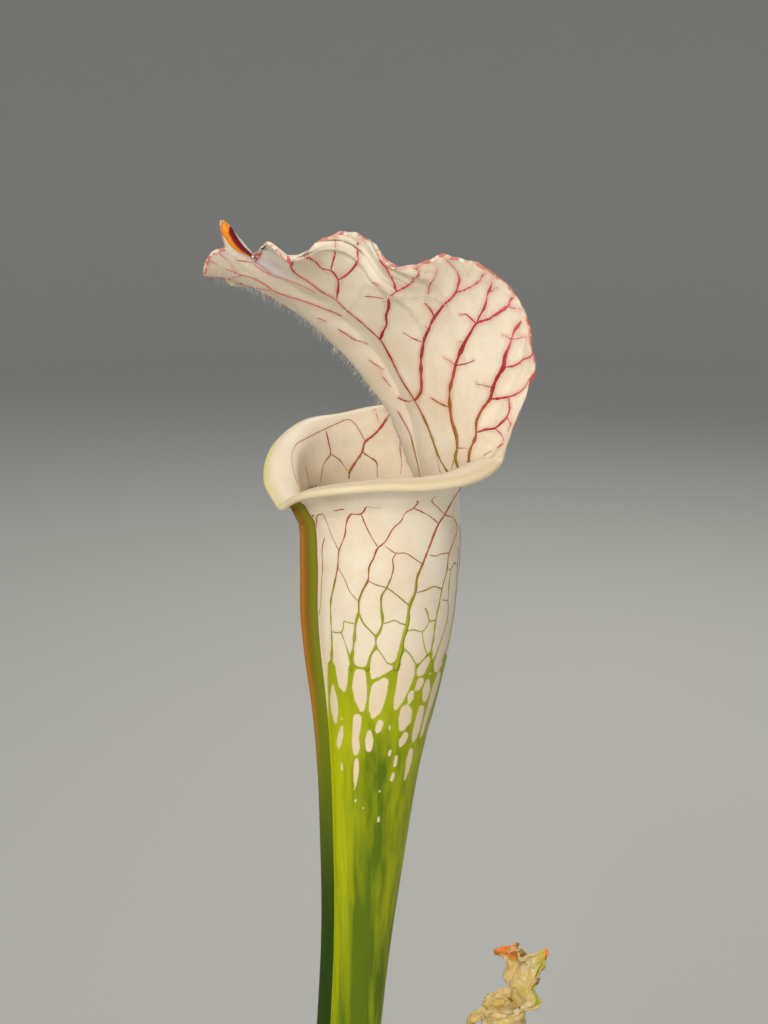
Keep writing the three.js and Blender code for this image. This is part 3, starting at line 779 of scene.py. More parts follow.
@dataclass(frozen=True)
class PitcherForm:
    """The sheet of a pitcher leaf, in its mouth frame: x to the front, y to the near side, z up.

    A point is named by its place round the rim and its row up the wall. Places run from 0 at the front
    of the lip, by the near side, to 0.5 at the hood's tip and on to 1. Rows run from below 0 for the
    tube through 4 at the neck to 8 at the rim.
    """

    mouth: Triple = (10.0, -6.0, 410.0)
    turn: float = math.radians(205)
    wall: float = 0.85
    lip_roll: Table = ((0, 0.75, 0.75), (0.04, 0.95, 0.95), (0.1, 1.05, 0.85), (0.2, 1.1, 0.6))
    colour_line: float = -58.0
    row_drop: float = 20.0
    tube: Table = (
        (-322, 3.3), (-300, 3.6), (-250, 4.4), (-190, 5.6), (-138, 6.6), (-112, 7.4), (-85, 9.25),
        (-63, 11.2), (-42, 14.3), (-32, 15.8), (-22, 16.9), (-10, 17.2), (6, 17.3),
    )
    axis: Table = (
        (-322, 12.8, -12.2), (-220, 9.7, -8.8), (-138, 6.05, -5.5), (-98, 3.7, -3.6), (-63, 1.9, -2.1),
        (-42, 0.5, -1.0), (-22, -0.1, -0.4), (-2, -0.4, 0.1), (6, -0.4, 0.1),
    )
    wing: Table = (
        (-322, 0.3), (-306, 0.6), (-290, 2.0), (-250, 4.2), (-200, 4.8), (-138, 3.3), (-112, 3.0),
        (-85, 3.0), (-53, 3.3), (-32, 3.9), (-10, 4.0),
    )
    spout_wing: Table = ((4, 3.6), (5, 3.0), (6, 2.9), (7, 2.2), (8, 0.3))
    neck: Table = (
        (-180, 15.2, -1), (-155, 16.2, 1), (-130, 17.2, 5), (-90, 17.5, 7), (-40, 18, 5), (0, 17.6, 0),
        (40, 17.4, 3), (90, 17.4, 4.5), (130, 17.6, 8), (155, 17, 3), (180, 15.2, -1),
    )
    crease: Table = (
        (-150, 19.5, 17.5), (-130, 19.8, 17.2), (-90, 19.6, 16.6), (-50, 21, 15), (-25, 21, 10.5),
        (0, 20.4, 4.8), (25, 20.6, 8), (60, 20.4, 11), (90, 20.4, 11.8), (130, 20.6, 13.4), (150, 20, 14),
    )
    edge: Table = (
        (-150, 24, 21), (-130, 24.5, 20.8), (-110, 23.6, 20.3), (-90, 23.8, 19), (-60, 25, 18),
        (-38, 27.2, 13.5), (-20, 27.4, 8.4), (-6, 26.2, 5.4), (0, 26, 4.4), (8, 25.6, 6.4), (20, 26, 9),
        (40, 26, 11.6), (65, 24.8, 12.8), (90, 25.6, 12.6), (112, 27.6, 13.4), (130, 28.6, 15),
        (150, 28, 18),
    )
    midrib: Table = (
        (0, -10.9, 0, 7), (0.15, -8.6, 0, 16.5), (0.32, -5.2, 0, 26.3), (0.5, 2, 0, 38), (0.68, 12, 0, 48),
        (0.85, 22.5, 0, 54.3), (1, 31.4, 0, 60.5),
    )
    near_margin: Table = (
        (0, -18.4, 21.9, 15), (0.05, -18.8, 25, 20.6), (0.1, -20.4, 28.6, 29.5), (0.15, -22.4, 30, 36.9),
        (0.2, -21.4, 30.4, 41.5), (0.25, -19.8, 30.6, 47.5), (0.3, -17, 29.5, 53.7),
        (0.36, -12.4, 28.5, 58.3), (0.44, -6.4, 27.5, 61.1), (0.5, -1.6, 26.5, 61.8),
        (0.545, 1.8, 25.2, 60.6), (0.6, 6, 23.6, 60.2), (0.645, 9.8, 22, 61.4), (0.69, 12.8, 20.4, 65.2),
        (0.75, 17, 18.8, 66.8), (0.82, 22.3, 16, 65.2), (0.87, 26.5, 13.4, 62.2), (0.9, 28.6, 12, 62),
        (0.94, 31.2, 9.6, 64.6), (1, 31.8, 2.2, 61.3),
    )
    far_margin: Table = (
        (0, -15.7, -18.8, 20.8), (0.12, -21, -27, 31), (0.24, -21.5, -31, 39), (0.36, -15.5, -32, 46),
        (0.5, -4, -30, 49.5), (0.65, 9, -26, 51.5), (0.8, 22, -21, 54), (0.92, 33.5, -15, 55.3),
        (1, 39.4, -9.5, 56.2),
    )
    near_bend: Table = (
        (0, 1.5, 9, 1), (0.3, 1, 11, 3), (0.6, 0, 10, 3), (0.85, 0, 6, 2), (1, 0.5, 1.5, 1.5),
    )
    far_bend: Table = (
        (0, 3, -8, -1), (0.2, 6.4, -11, -3.4), (0.4, 8.5, -13, -7.5), (0.6, 7.6, -14, -7.5),
        (0.8, 4.6, -11, -5), (0.93, 6, -6, -1), (1, 9.5, -3, 5.5),
    )
    merge_angle: float = 130.0
    merge_place: float = 0.2
    tip_place: float = 0.455
    tube_heights: tuple[float, ...] = (-58.0, -40.0, -24.0, -10.0)
    wing_angle: float = 4.3
    wing_radius: float = 17.3
    even_turn: Table = ((0, 0), (0.00662, 4.3), (0.2, 71.7), (0.49, 172.8), (0.5, 180))
    lip_crown: float = 1.2
    hood_lead: float = 0.012
    hood_blend: float = 0.05
    direct_row: float = 5.0
    spur: Triple = (6.6, 0.2, 8.2)
    spur_spread: float = 0.009
    spur_row: float = 7.4
    spur_bend: float = 1.7
    wave_row: float = 4.5
    crimp_row: float = 6.6
    wave_sizes: Triple = (0.5, 1.2, 0.42)
    step: tuple[float, float] = (0.0008, 0.02)

    def world(self, points: Array) -> Array:
        """Returns points of the mouth frame in the plant's frame."""
        s, c = math.sin(self.turn), math.cos(self.turn)
        x, y, z = np.moveaxis(points, -1, 0)
        return np.stack([c * x - s * y, s * x + c * y, z], -1) + np.array(self.mouth)

    def aim(self, vectors: Array) -> Array:
        """Returns directions of the mouth frame in the plant's frame."""
        return self.world(vectors) - np.array(self.mouth)

    def rim_angle(self, place: Array) -> Array:
        """Returns the signed angle in degrees at which a place's ray stands at the neck."""
        half = from_front(place)
        behind = np.clip((half - self.merge_place) / (0.5 - self.merge_place), 0, 1) ** 0.8
        lip = self.merge_angle * half / self.merge_place
        size = np.where(half < self.merge_place, lip, lerp(self.merge_angle, 180.0, behind))
        return size * self.side(place)

    def side(self, place: Array) -> Array:
        """Returns 1 on the near side and -1 on the far side."""
        return np.where(np.mod(place, 1.0) <= 0.5, 1.0, -1.0)

    def height(self, row: Array) -> Array:
        """Returns a row's height on the tube, for rows up to 3."""
        heights = self.tube_heights
        upper = np.interp(row, np.arange(len(heights)), heights)
        return np.where(row < 0, self.colour_line + self.row_drop * row, upper)

    def tube_wall(self, degrees: Array, height: Array, lift: Array | float = 0.0) -> Array:
        """Returns the tube's wall at signed degrees from its front.

        Round the wing an angle of the top is kept as a distance along the wall, so the wing has the
        same thickness all the way down.
        """
        radius = spline(self.tube, height)
        middle = spline(self.axis, height)
        size = np.abs(degrees)
        flank = self.wing_angle * self.wing_radius / radius
        near = size * self.wing_radius / radius
        rest = lerp(flank, 180.0, (size - self.wing_angle) / (180.0 - self.wing_angle))
        angle = np.radians(np.where(size < self.wing_angle, near, rest)) * np.sign(degrees)
        reach = radius + lift
        x = middle[..., 0] + reach * np.cos(angle)
        y = middle[..., 1] + reach * np.sin(angle)
        return np.stack([x, y, height + 0 * angle], -1)

    def blade(self, station: Array, across: Array) -> Array:
        """Returns a point of the hood, on the parabola from its midrib to a margin.

        Args:
            station: 0 at the hood's foot to 1 at its tip.
            across: -1 at the far margin, 0 at the midrib, 1 at the near margin.
        """
        far = (across < 0)[..., None]
        middle = spline(self.midrib, station)
        margin = np.where(far, spline(self.far_margin, station), spline(self.near_margin, station))
        handle = middle + np.where(far, spline(self.far_bend, station), spline(self.near_bend, station))
        u = np.abs(across)[..., None]
        return (1 - u) ** 2 * middle + 2 * u * (1 - u) * handle + u * u * margin

    def station(self, place: Array) -> Array:
        """Returns how far along the hood a place's ray ends."""
        half = from_front(place)
        return np.clip((half - self.merge_place) / (self.tip_place - self.merge_place), 0, 1)

    def keys(self, place: Array) -> Array:
        """Returns the nine key points of each place's ray, as keys by places by 3."""
        degrees = self.rim_angle(place)
        angle = np.radians(degrees)

        def ring(table: Table) -> Array:
            """Returns a table's points of radius and height at the rays' angles."""
            radius, height = np.moveaxis(spline(table, degrees), -1, 0)
            return np.stack([radius * np.cos(angle), radius * np.sin(angle), height], -1)

        neck, crease, edge = ring(self.neck), ring(self.crease), ring(self.edge)
        over = (crease + edge) / 2 + np.array([0, 0, self.lip_crown])
        lip = [(neck + crease) / 2, crease, over, edge]
        keys = [self.tube_wall(degrees, np.full_like(degrees, height)) for height in self.tube_heights]
        keys.append(neck)
        share = self.hood_share(place)[..., None]
        for k, point in enumerate(lip):
            keys.append(lerp(point, self.hood_ray(place, k / (len(lip) - 1)), share))
        return np.array(keys)

    def hood_share(self, place: Array) -> Array:
        """Returns how much a place belongs to the hood, from 0 on the lip to 1."""
        return smooth((from_front(place) - self.merge_place + self.hood_lead) / self.hood_blend)

    def hood_ray(self, place: Array, f: Array | float) -> Array:
        """Returns a point of the hood, a share f of the way up a place's ray from its foot to the margin."""
        half = from_front(place)
        end = np.where(half > self.tip_place, 1 - (half - self.tip_place) / (0.5 - self.tip_place), 1.0)
        start = np.clip((180 - np.abs(self.rim_angle(place))) / (180 - self.merge_angle), 0, 1)
        return self.blade(self.station(place) * f, self.side(place) * lerp(start, end, f))

    def flat(self, place: Array, row: Array) -> Array:
        """Returns the sheet's middle surface before its margin is waved.

        Above row 3 it is a cubic through the key points, spaced by the square root of their
        distances. Below row 2 it is the tube's wall, and between them one passes into the other.

        Args:
            place: places round the rim, one a column.
            row: rows, as rows by places.

        Returns:
            Points, as rows by places by 3.
        """
        place = np.mod(place, 1.0)
        keys = self.keys(place)
        column = np.arange(place.shape[-1])[None, :]
        gap = np.maximum(np.sqrt(np.linalg.norm(np.diff(keys, axis=0), axis=-1)), 0.05)[..., None]
        tangent = slopes(keys, gap)
        i = np.clip(np.floor(row).astype(int), 0, len(gap) - 1)
        u = np.clip(row - i, 0, 1)[..., None]
        step = gap[i, column]
        upper = hermite(keys[i, column], keys[i + 1, column], tangent[i, column] * step,
                        tangent[i + 1, column] * step, u)
        direct = self.hood_share(place) * smooth(row - self.direct_row)
        ray = self.hood_ray(place, np.clip((row - self.direct_row) / (RIM_ROW - self.direct_row), 0, 1))
        upper = lerp(upper, ray, direct[..., None])
        even = np.interp(from_front(place), *np.array(self.even_turn).T) * self.side(place)
        degrees = lerp(even, self.rim_angle(place), rise(row, 1.2, 3))
        lower = self.tube_wall(degrees, self.height(np.minimum(row, TUBE_ROW)))
        points = lerp(lower, upper, rise(row, 2, 3)[..., None])
        ease = rise(row, self.spur_row, RIM_ROW) ** 3
        lift = bell(place, 0.5, self.spur_spread) * ease
        return points + np.stack([lift, lift, lift ** self.spur_bend], -1) * np.array(self.spur)

    def ruffle(self, place: Array, row: Array) -> Array:
        """Returns how far the hood's margin waves out of the sheet: broad waves and finer crimps."""
        station = self.station(np.mod(place, 1.0))
        side = self.side(place)
        near, far, fine = self.wave_sizes
        share = rise(row, self.wave_row, RIM_ROW) ** 2
        share = share * smooth(station * 6) * smooth((1 - station) * 8)
        turns = 2 * math.pi * station
        broad = np.sin(4.2 * turns + 0.6) + 0.5 * np.sin(7.3 * turns + 2)
        crimp = np.sin(17 * turns + 1.1 * side) * np.sin(5.1 * turns + side)
        crimp = fine * rise(row, self.crimp_row, RIM_ROW) * crimp
        return share * (np.where(side > 0, near, far) * broad + crimp)

    def sheet(self, place: Array, row: Array) -> Array:
        """Returns the sheet's middle surface with its waved margin: the flat one moved along its normal."""
        points = self.flat(place, row)
        wave = self.ruffle(place, row)
        return points + wave[..., None] * self.normal(self.flat, place, row)

    def normal(self, surface: Callable[[Array, Array], Array], place: Array, row: Array) -> Array:
        """Returns a surface's outward normals, from small steps in place and row."""
        place, row = np.asarray(place, float), np.asarray(row, float)
        aside, up = self.step
        along = surface(place + aside, row) - surface(place - aside, row)
        above = surface(place, np.minimum(row + up, RIM_ROW)) - surface(place, row - up)
        return unit(np.cross(along, above))

    def frame(self, place: Array, row: Array) -> tuple[Array, Array]:
        """Returns the sheet's points and outward normals in the plant's frame."""
        return self.world(self.sheet(place, row)), self.aim(self.normal(self.sheet, place, row))

    def at(self, place: Array, row: Array) -> tuple[Array, Array]:
        """Returns points and normals for pairs of place and row."""
        points, normals = self.frame(np.asarray(place), np.asarray(row)[None, :])
        return points[0], normals[0]


# Veins, read off the photograph

class Patch(Enum):
    """A stretch of the sheet that a reading of veins lies on: places and rows from and to."""

    HOOD = (0.195, 0.805, 4.0, 8.0)
    NEAR_HOOD = (0.195, 0.5, 4.2, 8.0)
    LOBE = (0.8, 1.0, 3.0, 7.6)
    TUBE = (-0.07, 0.45, -1.6, 4.8)


@dataclass(frozen=True)
class Reading:
    """Vein lines read at a zoom: each is a weight and then x and y in turn from a corner pixel."""

    corner: tuple[float, float]
    zoom: float
    patch: Patch
    lines: Sequence[Sequence[float]]
    spacing: float = 2.4

    def pixels(self, line: Sequence[float]) -> Array:
        """Returns a line's points in the photograph's frame, evenly spaced on a smooth curve."""
        points = np.array(line[1:], float).reshape(-1, 2) / self.zoom + np.array(self.corner)
        return resample(points, self.spacing)


HOOD_FRONT = Reading((200, 215), 7.295, Patch.HOOD, (
    (0.8, 640, 310, 680, 395, 800, 480, 900, 555, 990, 605, 1080, 690, 1180, 770, 1250, 835, 1320, 900,
     1380, 1000, 1484, 1205, 1573, 1345, 1674, 1551, 1718, 1674, 1763, 1786, 1813, 1870),
    (0.75, 1000, 605, 1008, 540, 1010, 470, 955, 395, 890, 380, 835, 325, 760, 305),
    (0.7, 1010, 465, 1080, 420, 1130, 365, 1155, 320, 1145, 270, 1150, 200, 1160, 165),
    (0.55, 955, 395, 970, 330, 985, 270, 985, 200, 992, 160),
    (0.8, 1320, 900, 1340, 840, 1365, 790, 1360, 730, 1380, 650, 1375, 605, 1430, 550),
    (0.65, 1430, 550, 1415, 490, 1390, 430, 1350, 380, 1305, 325), (0.5, 1375, 605, 1345, 570),
    (0.7, 1430, 550, 1528, 495, 1590, 417, 1573, 378), (0.35, 1260, 480, 1310, 512),
    (0.35, 1210, 585, 1290, 590, 1345, 600), (0.6, 400, 350, 430, 300, 462, 258),
    (0.3, 400, 355, 480, 408, 640, 462, 760, 510, 850, 560), (0.6, 330, 250, 385, 282, 400, 340),
    (0.45, 120, 240, 160, 285, 212, 322), (0.5, 60, 320, 130, 352), (0.55, 280, 320, 350, 335, 400, 345),
    (0.75, 190, 385, 320, 430, 400, 455, 470, 490, 545, 545, 640, 580, 740, 610, 850, 650, 940, 685, 1040,
     725), (0.45, 55, 495, 150, 470, 240, 445, 320, 430), (0.4, 240, 490, 330, 505, 430, 525, 545, 545),
    (0.55, 1010, 825, 1080, 865, 1130, 900, 1180, 915, 1230, 935), (0.35, 860, 740, 925, 767),
    (0.35, 1240, 1050, 1300, 1095, 1350, 1125), (0.5, 1340, 1175, 1395, 1245),
))
HOOD_BACK = Reading((385, 250), 6.53, Patch.NEAR_HOOD, (
    (0.95, 205, 975, 235, 930, 240, 800, 240, 700, 255, 600, 285, 510, 325, 430, 380, 360, 455, 275, 480,
     200, 470, 130, 430, 85, 395, 62), (0.7, 455, 275, 540, 245, 610, 200, 650, 150),
    (0.6, 325, 430, 295, 375, 262, 340), (0.4, 250, 597, 180, 568, 120, 530), (0.4, 285, 512, 262, 490),
    (0.35, 280, 280, 295, 215, 325, 165, 335, 120),
    (1.1, 485, 1420, 465, 1350, 478, 1290, 470, 1200, 445, 1120, 430, 1020, 430, 900, 450, 820, 465, 750,
     490, 680, 520, 600, 560, 530, 600, 475, 690, 440, 750, 400, 800, 360, 835, 305),
    (0.7, 605, 470, 620, 430, 650, 370, 660, 320, 680, 270, 695, 205), (0.5, 680, 272, 742, 235),
    (0.55, 600, 475, 560, 440, 530, 415, 480, 420), (0.55, 465, 750, 540, 735, 590, 713),
    (0.35, 465, 752, 430, 720, 385, 698), (0.4, 520, 597, 488, 590), (0.6, 430, 1025, 370, 1000, 308, 962),
    (0.35, 478, 1290, 550, 1292), (0.5, 465, 1350, 437, 1435), (0.4, 800, 362, 850, 378, 888, 385),
    (1.05, 550, 1400, 560, 1310, 600, 1210, 605, 1120, 640, 1040, 690, 970, 710, 890, 740, 820, 775, 760,
     785, 690, 825, 590, 845, 530, 865, 490, 885, 460),
    (0.75, 775, 762, 860, 745, 910, 715, 950, 690, 962, 655), (0.45, 825, 580, 770, 548),
    (0.55, 825, 580, 935, 560),
    (0.75, 695, 970, 770, 965, 815, 962, 870, 935, 920, 890, 950, 855, 978, 800),
    (0.7, 815, 962, 820, 1010, 800, 1085, 760, 1130, 725, 1162, 660, 1170, 610, 1187),
    (0.55, 800, 1087, 822, 1140, 805, 1180), (0.55, 725, 1162, 770, 1212, 775, 1240),
    (0.35, 710, 893, 650, 880, 600, 870), (0.6, 735, 1285, 770, 1255), (0.4, 650, 1335, 700, 1305),
))
HOOD_FOOT = Reading((255, 395), 5.917, Patch.HOOD, (
    (0.45, 800, 150, 830, 230, 855, 310, 868, 400, 862, 490),
    (0.6, 850, 90, 885, 150, 925, 230, 945, 310, 965, 390, 985, 490),
    (0.55, 850, 10, 870, 20, 930, 30, 950, 20), (0.4, 1060, 240, 1085, 370, 1105, 460),
))
FAR_LOBE = Reading((255, 395), 5.917, Patch.LOBE, (
    (0.85, 795, 120, 745, 190, 690, 245, 650, 275, 630, 340, 585, 405, 555, 455, 550, 495),
    (0.35, 650, 275, 620, 220, 590, 175, 555, 150, 490, 170, 420, 200, 300, 260, 240, 300, 215, 360, 220,
     440, 250, 540), (0.55, 415, 215, 430, 280, 440, 350, 400, 410, 385, 470, 380, 515),
    (0.45, 440, 350, 490, 380, 530, 430, 550, 460),
    (0.55, 635, 340, 680, 370, 720, 400, 722, 430, 722, 485), (0.35, 290, 430, 305, 500, 310, 535),
    (0.45, 700, 95, 715, 85), (0.3, 715, 110, 735, 170),
))
TUBE_TOP = Reading((300, 480), 8.25, Patch.TUBE, (
    (0.9, 272, 104, 218, 134, 178, 176, 158, 220, 150, 290, 148, 400, 146, 560, 148, 740, 152, 900, 158,
     1100),
    (1.5, 1330, 60, 1295, 95, 1180, 285, 1130, 365, 1065, 530, 1000, 700, 960, 800, 945, 920, 900, 1030,
     880, 1190, 845, 1310, 830, 1400, 800, 1510, 785, 1568),
    (1.0, 970, 90, 975, 150, 935, 220, 865, 265, 830, 335, 775, 385, 690, 520, 645, 555, 610, 640, 575,
     710, 565, 820, 520, 910, 490, 1000, 490, 1080, 465, 1180, 455, 1300, 440, 1430, 430, 1568),
    (1.0, 540, 95, 550, 195, 510, 270, 420, 280, 390, 350, 380, 440, 330, 590, 320, 720, 290, 870, 265,
     1000, 265, 1130, 270, 1250, 275, 1400, 265, 1568),
    (1.0, 320, 75, 240, 100, 150, 190, 122, 230, 118, 350, 100, 700, 105, 1000, 140, 1250, 150, 1400),
    (0.7, 215, 470, 195, 560, 200, 700, 190, 850, 180, 1050, 155, 1180, 155, 1350, 165, 1568),
    (0.6, 160, 200, 235, 350, 265, 440, 330, 580), (0.7, 510, 280, 550, 380, 600, 480, 640, 545),
    (0.5, 555, 200, 600, 220, 670, 215), (0.7, 1105, 135, 1075, 165, 1120, 215, 1175, 275),
    (0.8, 935, 225, 1020, 270, 1080, 310, 1130, 355),
    (0.7, 700, 540, 790, 600, 870, 600, 930, 640, 1005, 690),
    (0.7, 790, 605, 765, 640, 770, 720, 740, 830, 715, 885),
    (0.7, 565, 825, 630, 860, 715, 885, 790, 940, 890, 1025),
    (0.9, 715, 885, 675, 950, 670, 1040, 680, 1170, 655, 1250, 630, 1290, 625, 1370, 590, 1430, 560, 1568),
    (0.6, 685, 1180, 740, 1165, 780, 1150, 820, 1175, 870, 1190),
    (0.7, 490, 1090, 530, 1180, 580, 1235, 630, 1290), (0.6, 370, 1160, 400, 1170, 450, 1180),
    (0.6, 370, 1160, 350, 1250, 280, 1250), (0.6, 325, 725, 370, 800, 420, 920, 480, 990),
    (0.6, 350, 1255, 380, 1340, 410, 1440, 430, 1500),
    (0.9, 1185, 290, 1240, 305, 1285, 380, 1255, 500, 1215, 610, 1200, 740, 1160, 890, 1140, 1000, 1110,
     1150, 1090, 1300, 1070, 1430, 1075, 1568), (0.6, 1060, 615, 1110, 625, 1160, 605, 1210, 600),
    (0.7, 1215, 735, 1230, 735, 1260, 680, 1285, 700),
    (0.8, 1230, 735, 1215, 880, 1210, 990, 1215, 1060, 1195, 1180, 1150, 1320, 1120, 1410, 1085, 1500),
    (0.6, 960, 925, 1040, 900, 1090, 875, 1160, 895), (0.6, 1160, 985, 1210, 990),
    (0.7, 1025, 1050, 1045, 1100, 1060, 1160, 1110, 1150),
    (0.6, 1060, 1160, 1000, 1245, 925, 1230, 885, 1240),
    (0.6, 1000, 1245, 1010, 1330, 1035, 1420, 1045, 1440, 1075, 1430), (0.6, 1040, 1440, 960, 1530),
    (0.6, 850, 1385, 900, 1430, 930, 1480, 960, 1530), (0.6, 630, 1370, 680, 1440, 730, 1510, 800, 1510),
    (0.6, 440, 1520, 500, 1540, 560, 1545),
    (0.8, 1295, 540, 1290, 700, 1275, 1000, 1250, 1150, 1210, 1350, 1160, 1500),
))
READINGS = (HOOD_FRONT, HOOD_BACK, HOOD_FOOT, FAR_LOBE, TUBE_TOP)


@dataclass(frozen=True)
class Windows:
    """Pale windows low on the tube, read one by one: each a chain of x, y and half width in turn."""

    corner: tuple[float, float] = (300.0, 660.0)
    zoom: float = 7.84
    outside: float = -12.0
    chains: Sequence[Sequence[float]] = (
        (198, -60, 30, 202, 0, 28, 205, 200, 26, 215, 400, 20, 228, 560, 13, 238, 660, 5),
        (150, 20, 6, 160, 120, 5), (268, 185, 6, 275, 300, 29, 284, 400, 28, 290, 490, 9),
        (333, -60, 50, 335, 0, 54, 340, 100, 46, 345, 190, 34, 354, 232, 14), (338, 450, 10),
        (338, 515, 9, 328, 580, 22, 316, 650, 20, 314, 685, 8),
        (474, 105, 46, 472, 200, 58, 480, 300, 48, 490, 378, 22), (490, -50, 50, 495, -10, 50, 505, 15, 30),
        (612, -50, 66, 610, 0, 68, 600, 80, 52, 574, 125, 20),
        (660, 165, 36, 622, 220, 64, 606, 300, 62, 590, 380, 50, 574, 438, 18), (718, 70, 14),
        (840, -50, 55, 838, 0, 58, 828, 100, 64, 802, 200, 52, 770, 300, 38, 745, 372, 16),
        (910, -40, 24, 910, 12, 16), (968, -10, 32, 962, 25, 36, 938, 85, 32, 920, 112, 12),
        (936, 160, 28, 912, 216, 20), (1075, -40, 34, 1070, 20, 34, 1055, 78, 16), (1010, 105, 12),
        (992, 155, 14, 980, 230, 32, 966, 300, 20, 962, 324, 6), (868, 250, 20, 858, 288, 26, 850, 318, 14),
        (455, 447, 34, 450, 520, 32, 440, 600, 27, 445, 680, 30, 442, 722, 20),
        (628, 488, 27, 612, 540, 24, 606, 564, 8), (546, 555, 16, 545, 620, 34, 542, 688, 26, 542, 708, 8),
        (826, 392, 46, 816, 460, 50, 795, 520, 28, 784, 544, 8), (822, 580, 22, 796, 630, 28, 782, 664, 14),
        (942, 368, 22, 926, 450, 26, 902, 540, 26, 882, 610, 18, 876, 636, 6),
        (1078, 95, 12, 1048, 200, 20, 1012, 330, 18, 976, 450, 14, 946, 560, 12, 932, 608, 4),
        (1003, 480, 5, 976, 620, 6, 958, 690, 4), (704, 702, 11, 696, 738, 14),
        (750, 752, 14, 738, 822, 14), (728, 886, 13, 712, 934, 14),
        (863, 700, 17, 846, 780, 22, 826, 880, 14, 808, 940, 5),
        (448, 785, 18, 446, 860, 22, 440, 930, 16, 438, 990, 5), (336, 806, 8, 339, 862, 8), (331, 915, 6),
        (291, 864, 5), (622, 1016, 9, 621, 1032, 8), (441, 1085, 9, 440, 1108, 9), (498, 1155, 9),
        (706, 1150, 6), (614, 1220, 9, 612, 1262, 10), (701, 500, 8, 700, 540, 7), (428, 1010, 5),
    )

    def inside(self, pixels: Array) -> Array:
        """Returns how many pixels inside a window each pixel is, and below 0 outside all of them."""
        best = np.full(pixels.shape[:-1], self.outside)
        for chain in self.chains:
            knots = np.array(chain, float).reshape(-1, 3) / self.zoom
            knots[:, :2] += self.corner
            if len(knots) == 1:
                knots = np.repeat(knots, 2, 0)
            for (*start, thin), (*end, wide) in zip(knots[:-1], knots[1:]):
                line = np.subtract(end, start)
                t = np.clip((pixels - start) @ line / max(line @ line, 1e-9), 0, 1)
                away = np.linalg.norm(pixels - start - t[..., None] * line, axis=-1)
                best = np.maximum(best, lerp(thin, wide, t) - away)
        return best


@dataclass
class Vein:
    """One vein on the sheet: its points, the sheet's normals there, half widths, and shades of 0 to 1."""

    points: Array
    normals: Array
    half: Array
    shade: Array

    def runs(self, keep: Array) -> list["Vein"]:
        """Returns the stretches of three points or more that are kept."""
        edges = np.flatnonzero(np.diff(np.concatenate([[0], keep.astype(int), [0]])))
        spans = [slice(a, b) for a, b in zip(edges[::2], edges[1::2]) if b - a >= 3]
        return [Vein(self.points[s], self.normals[s], self.half[s], self.shade[s]) for s in spans]


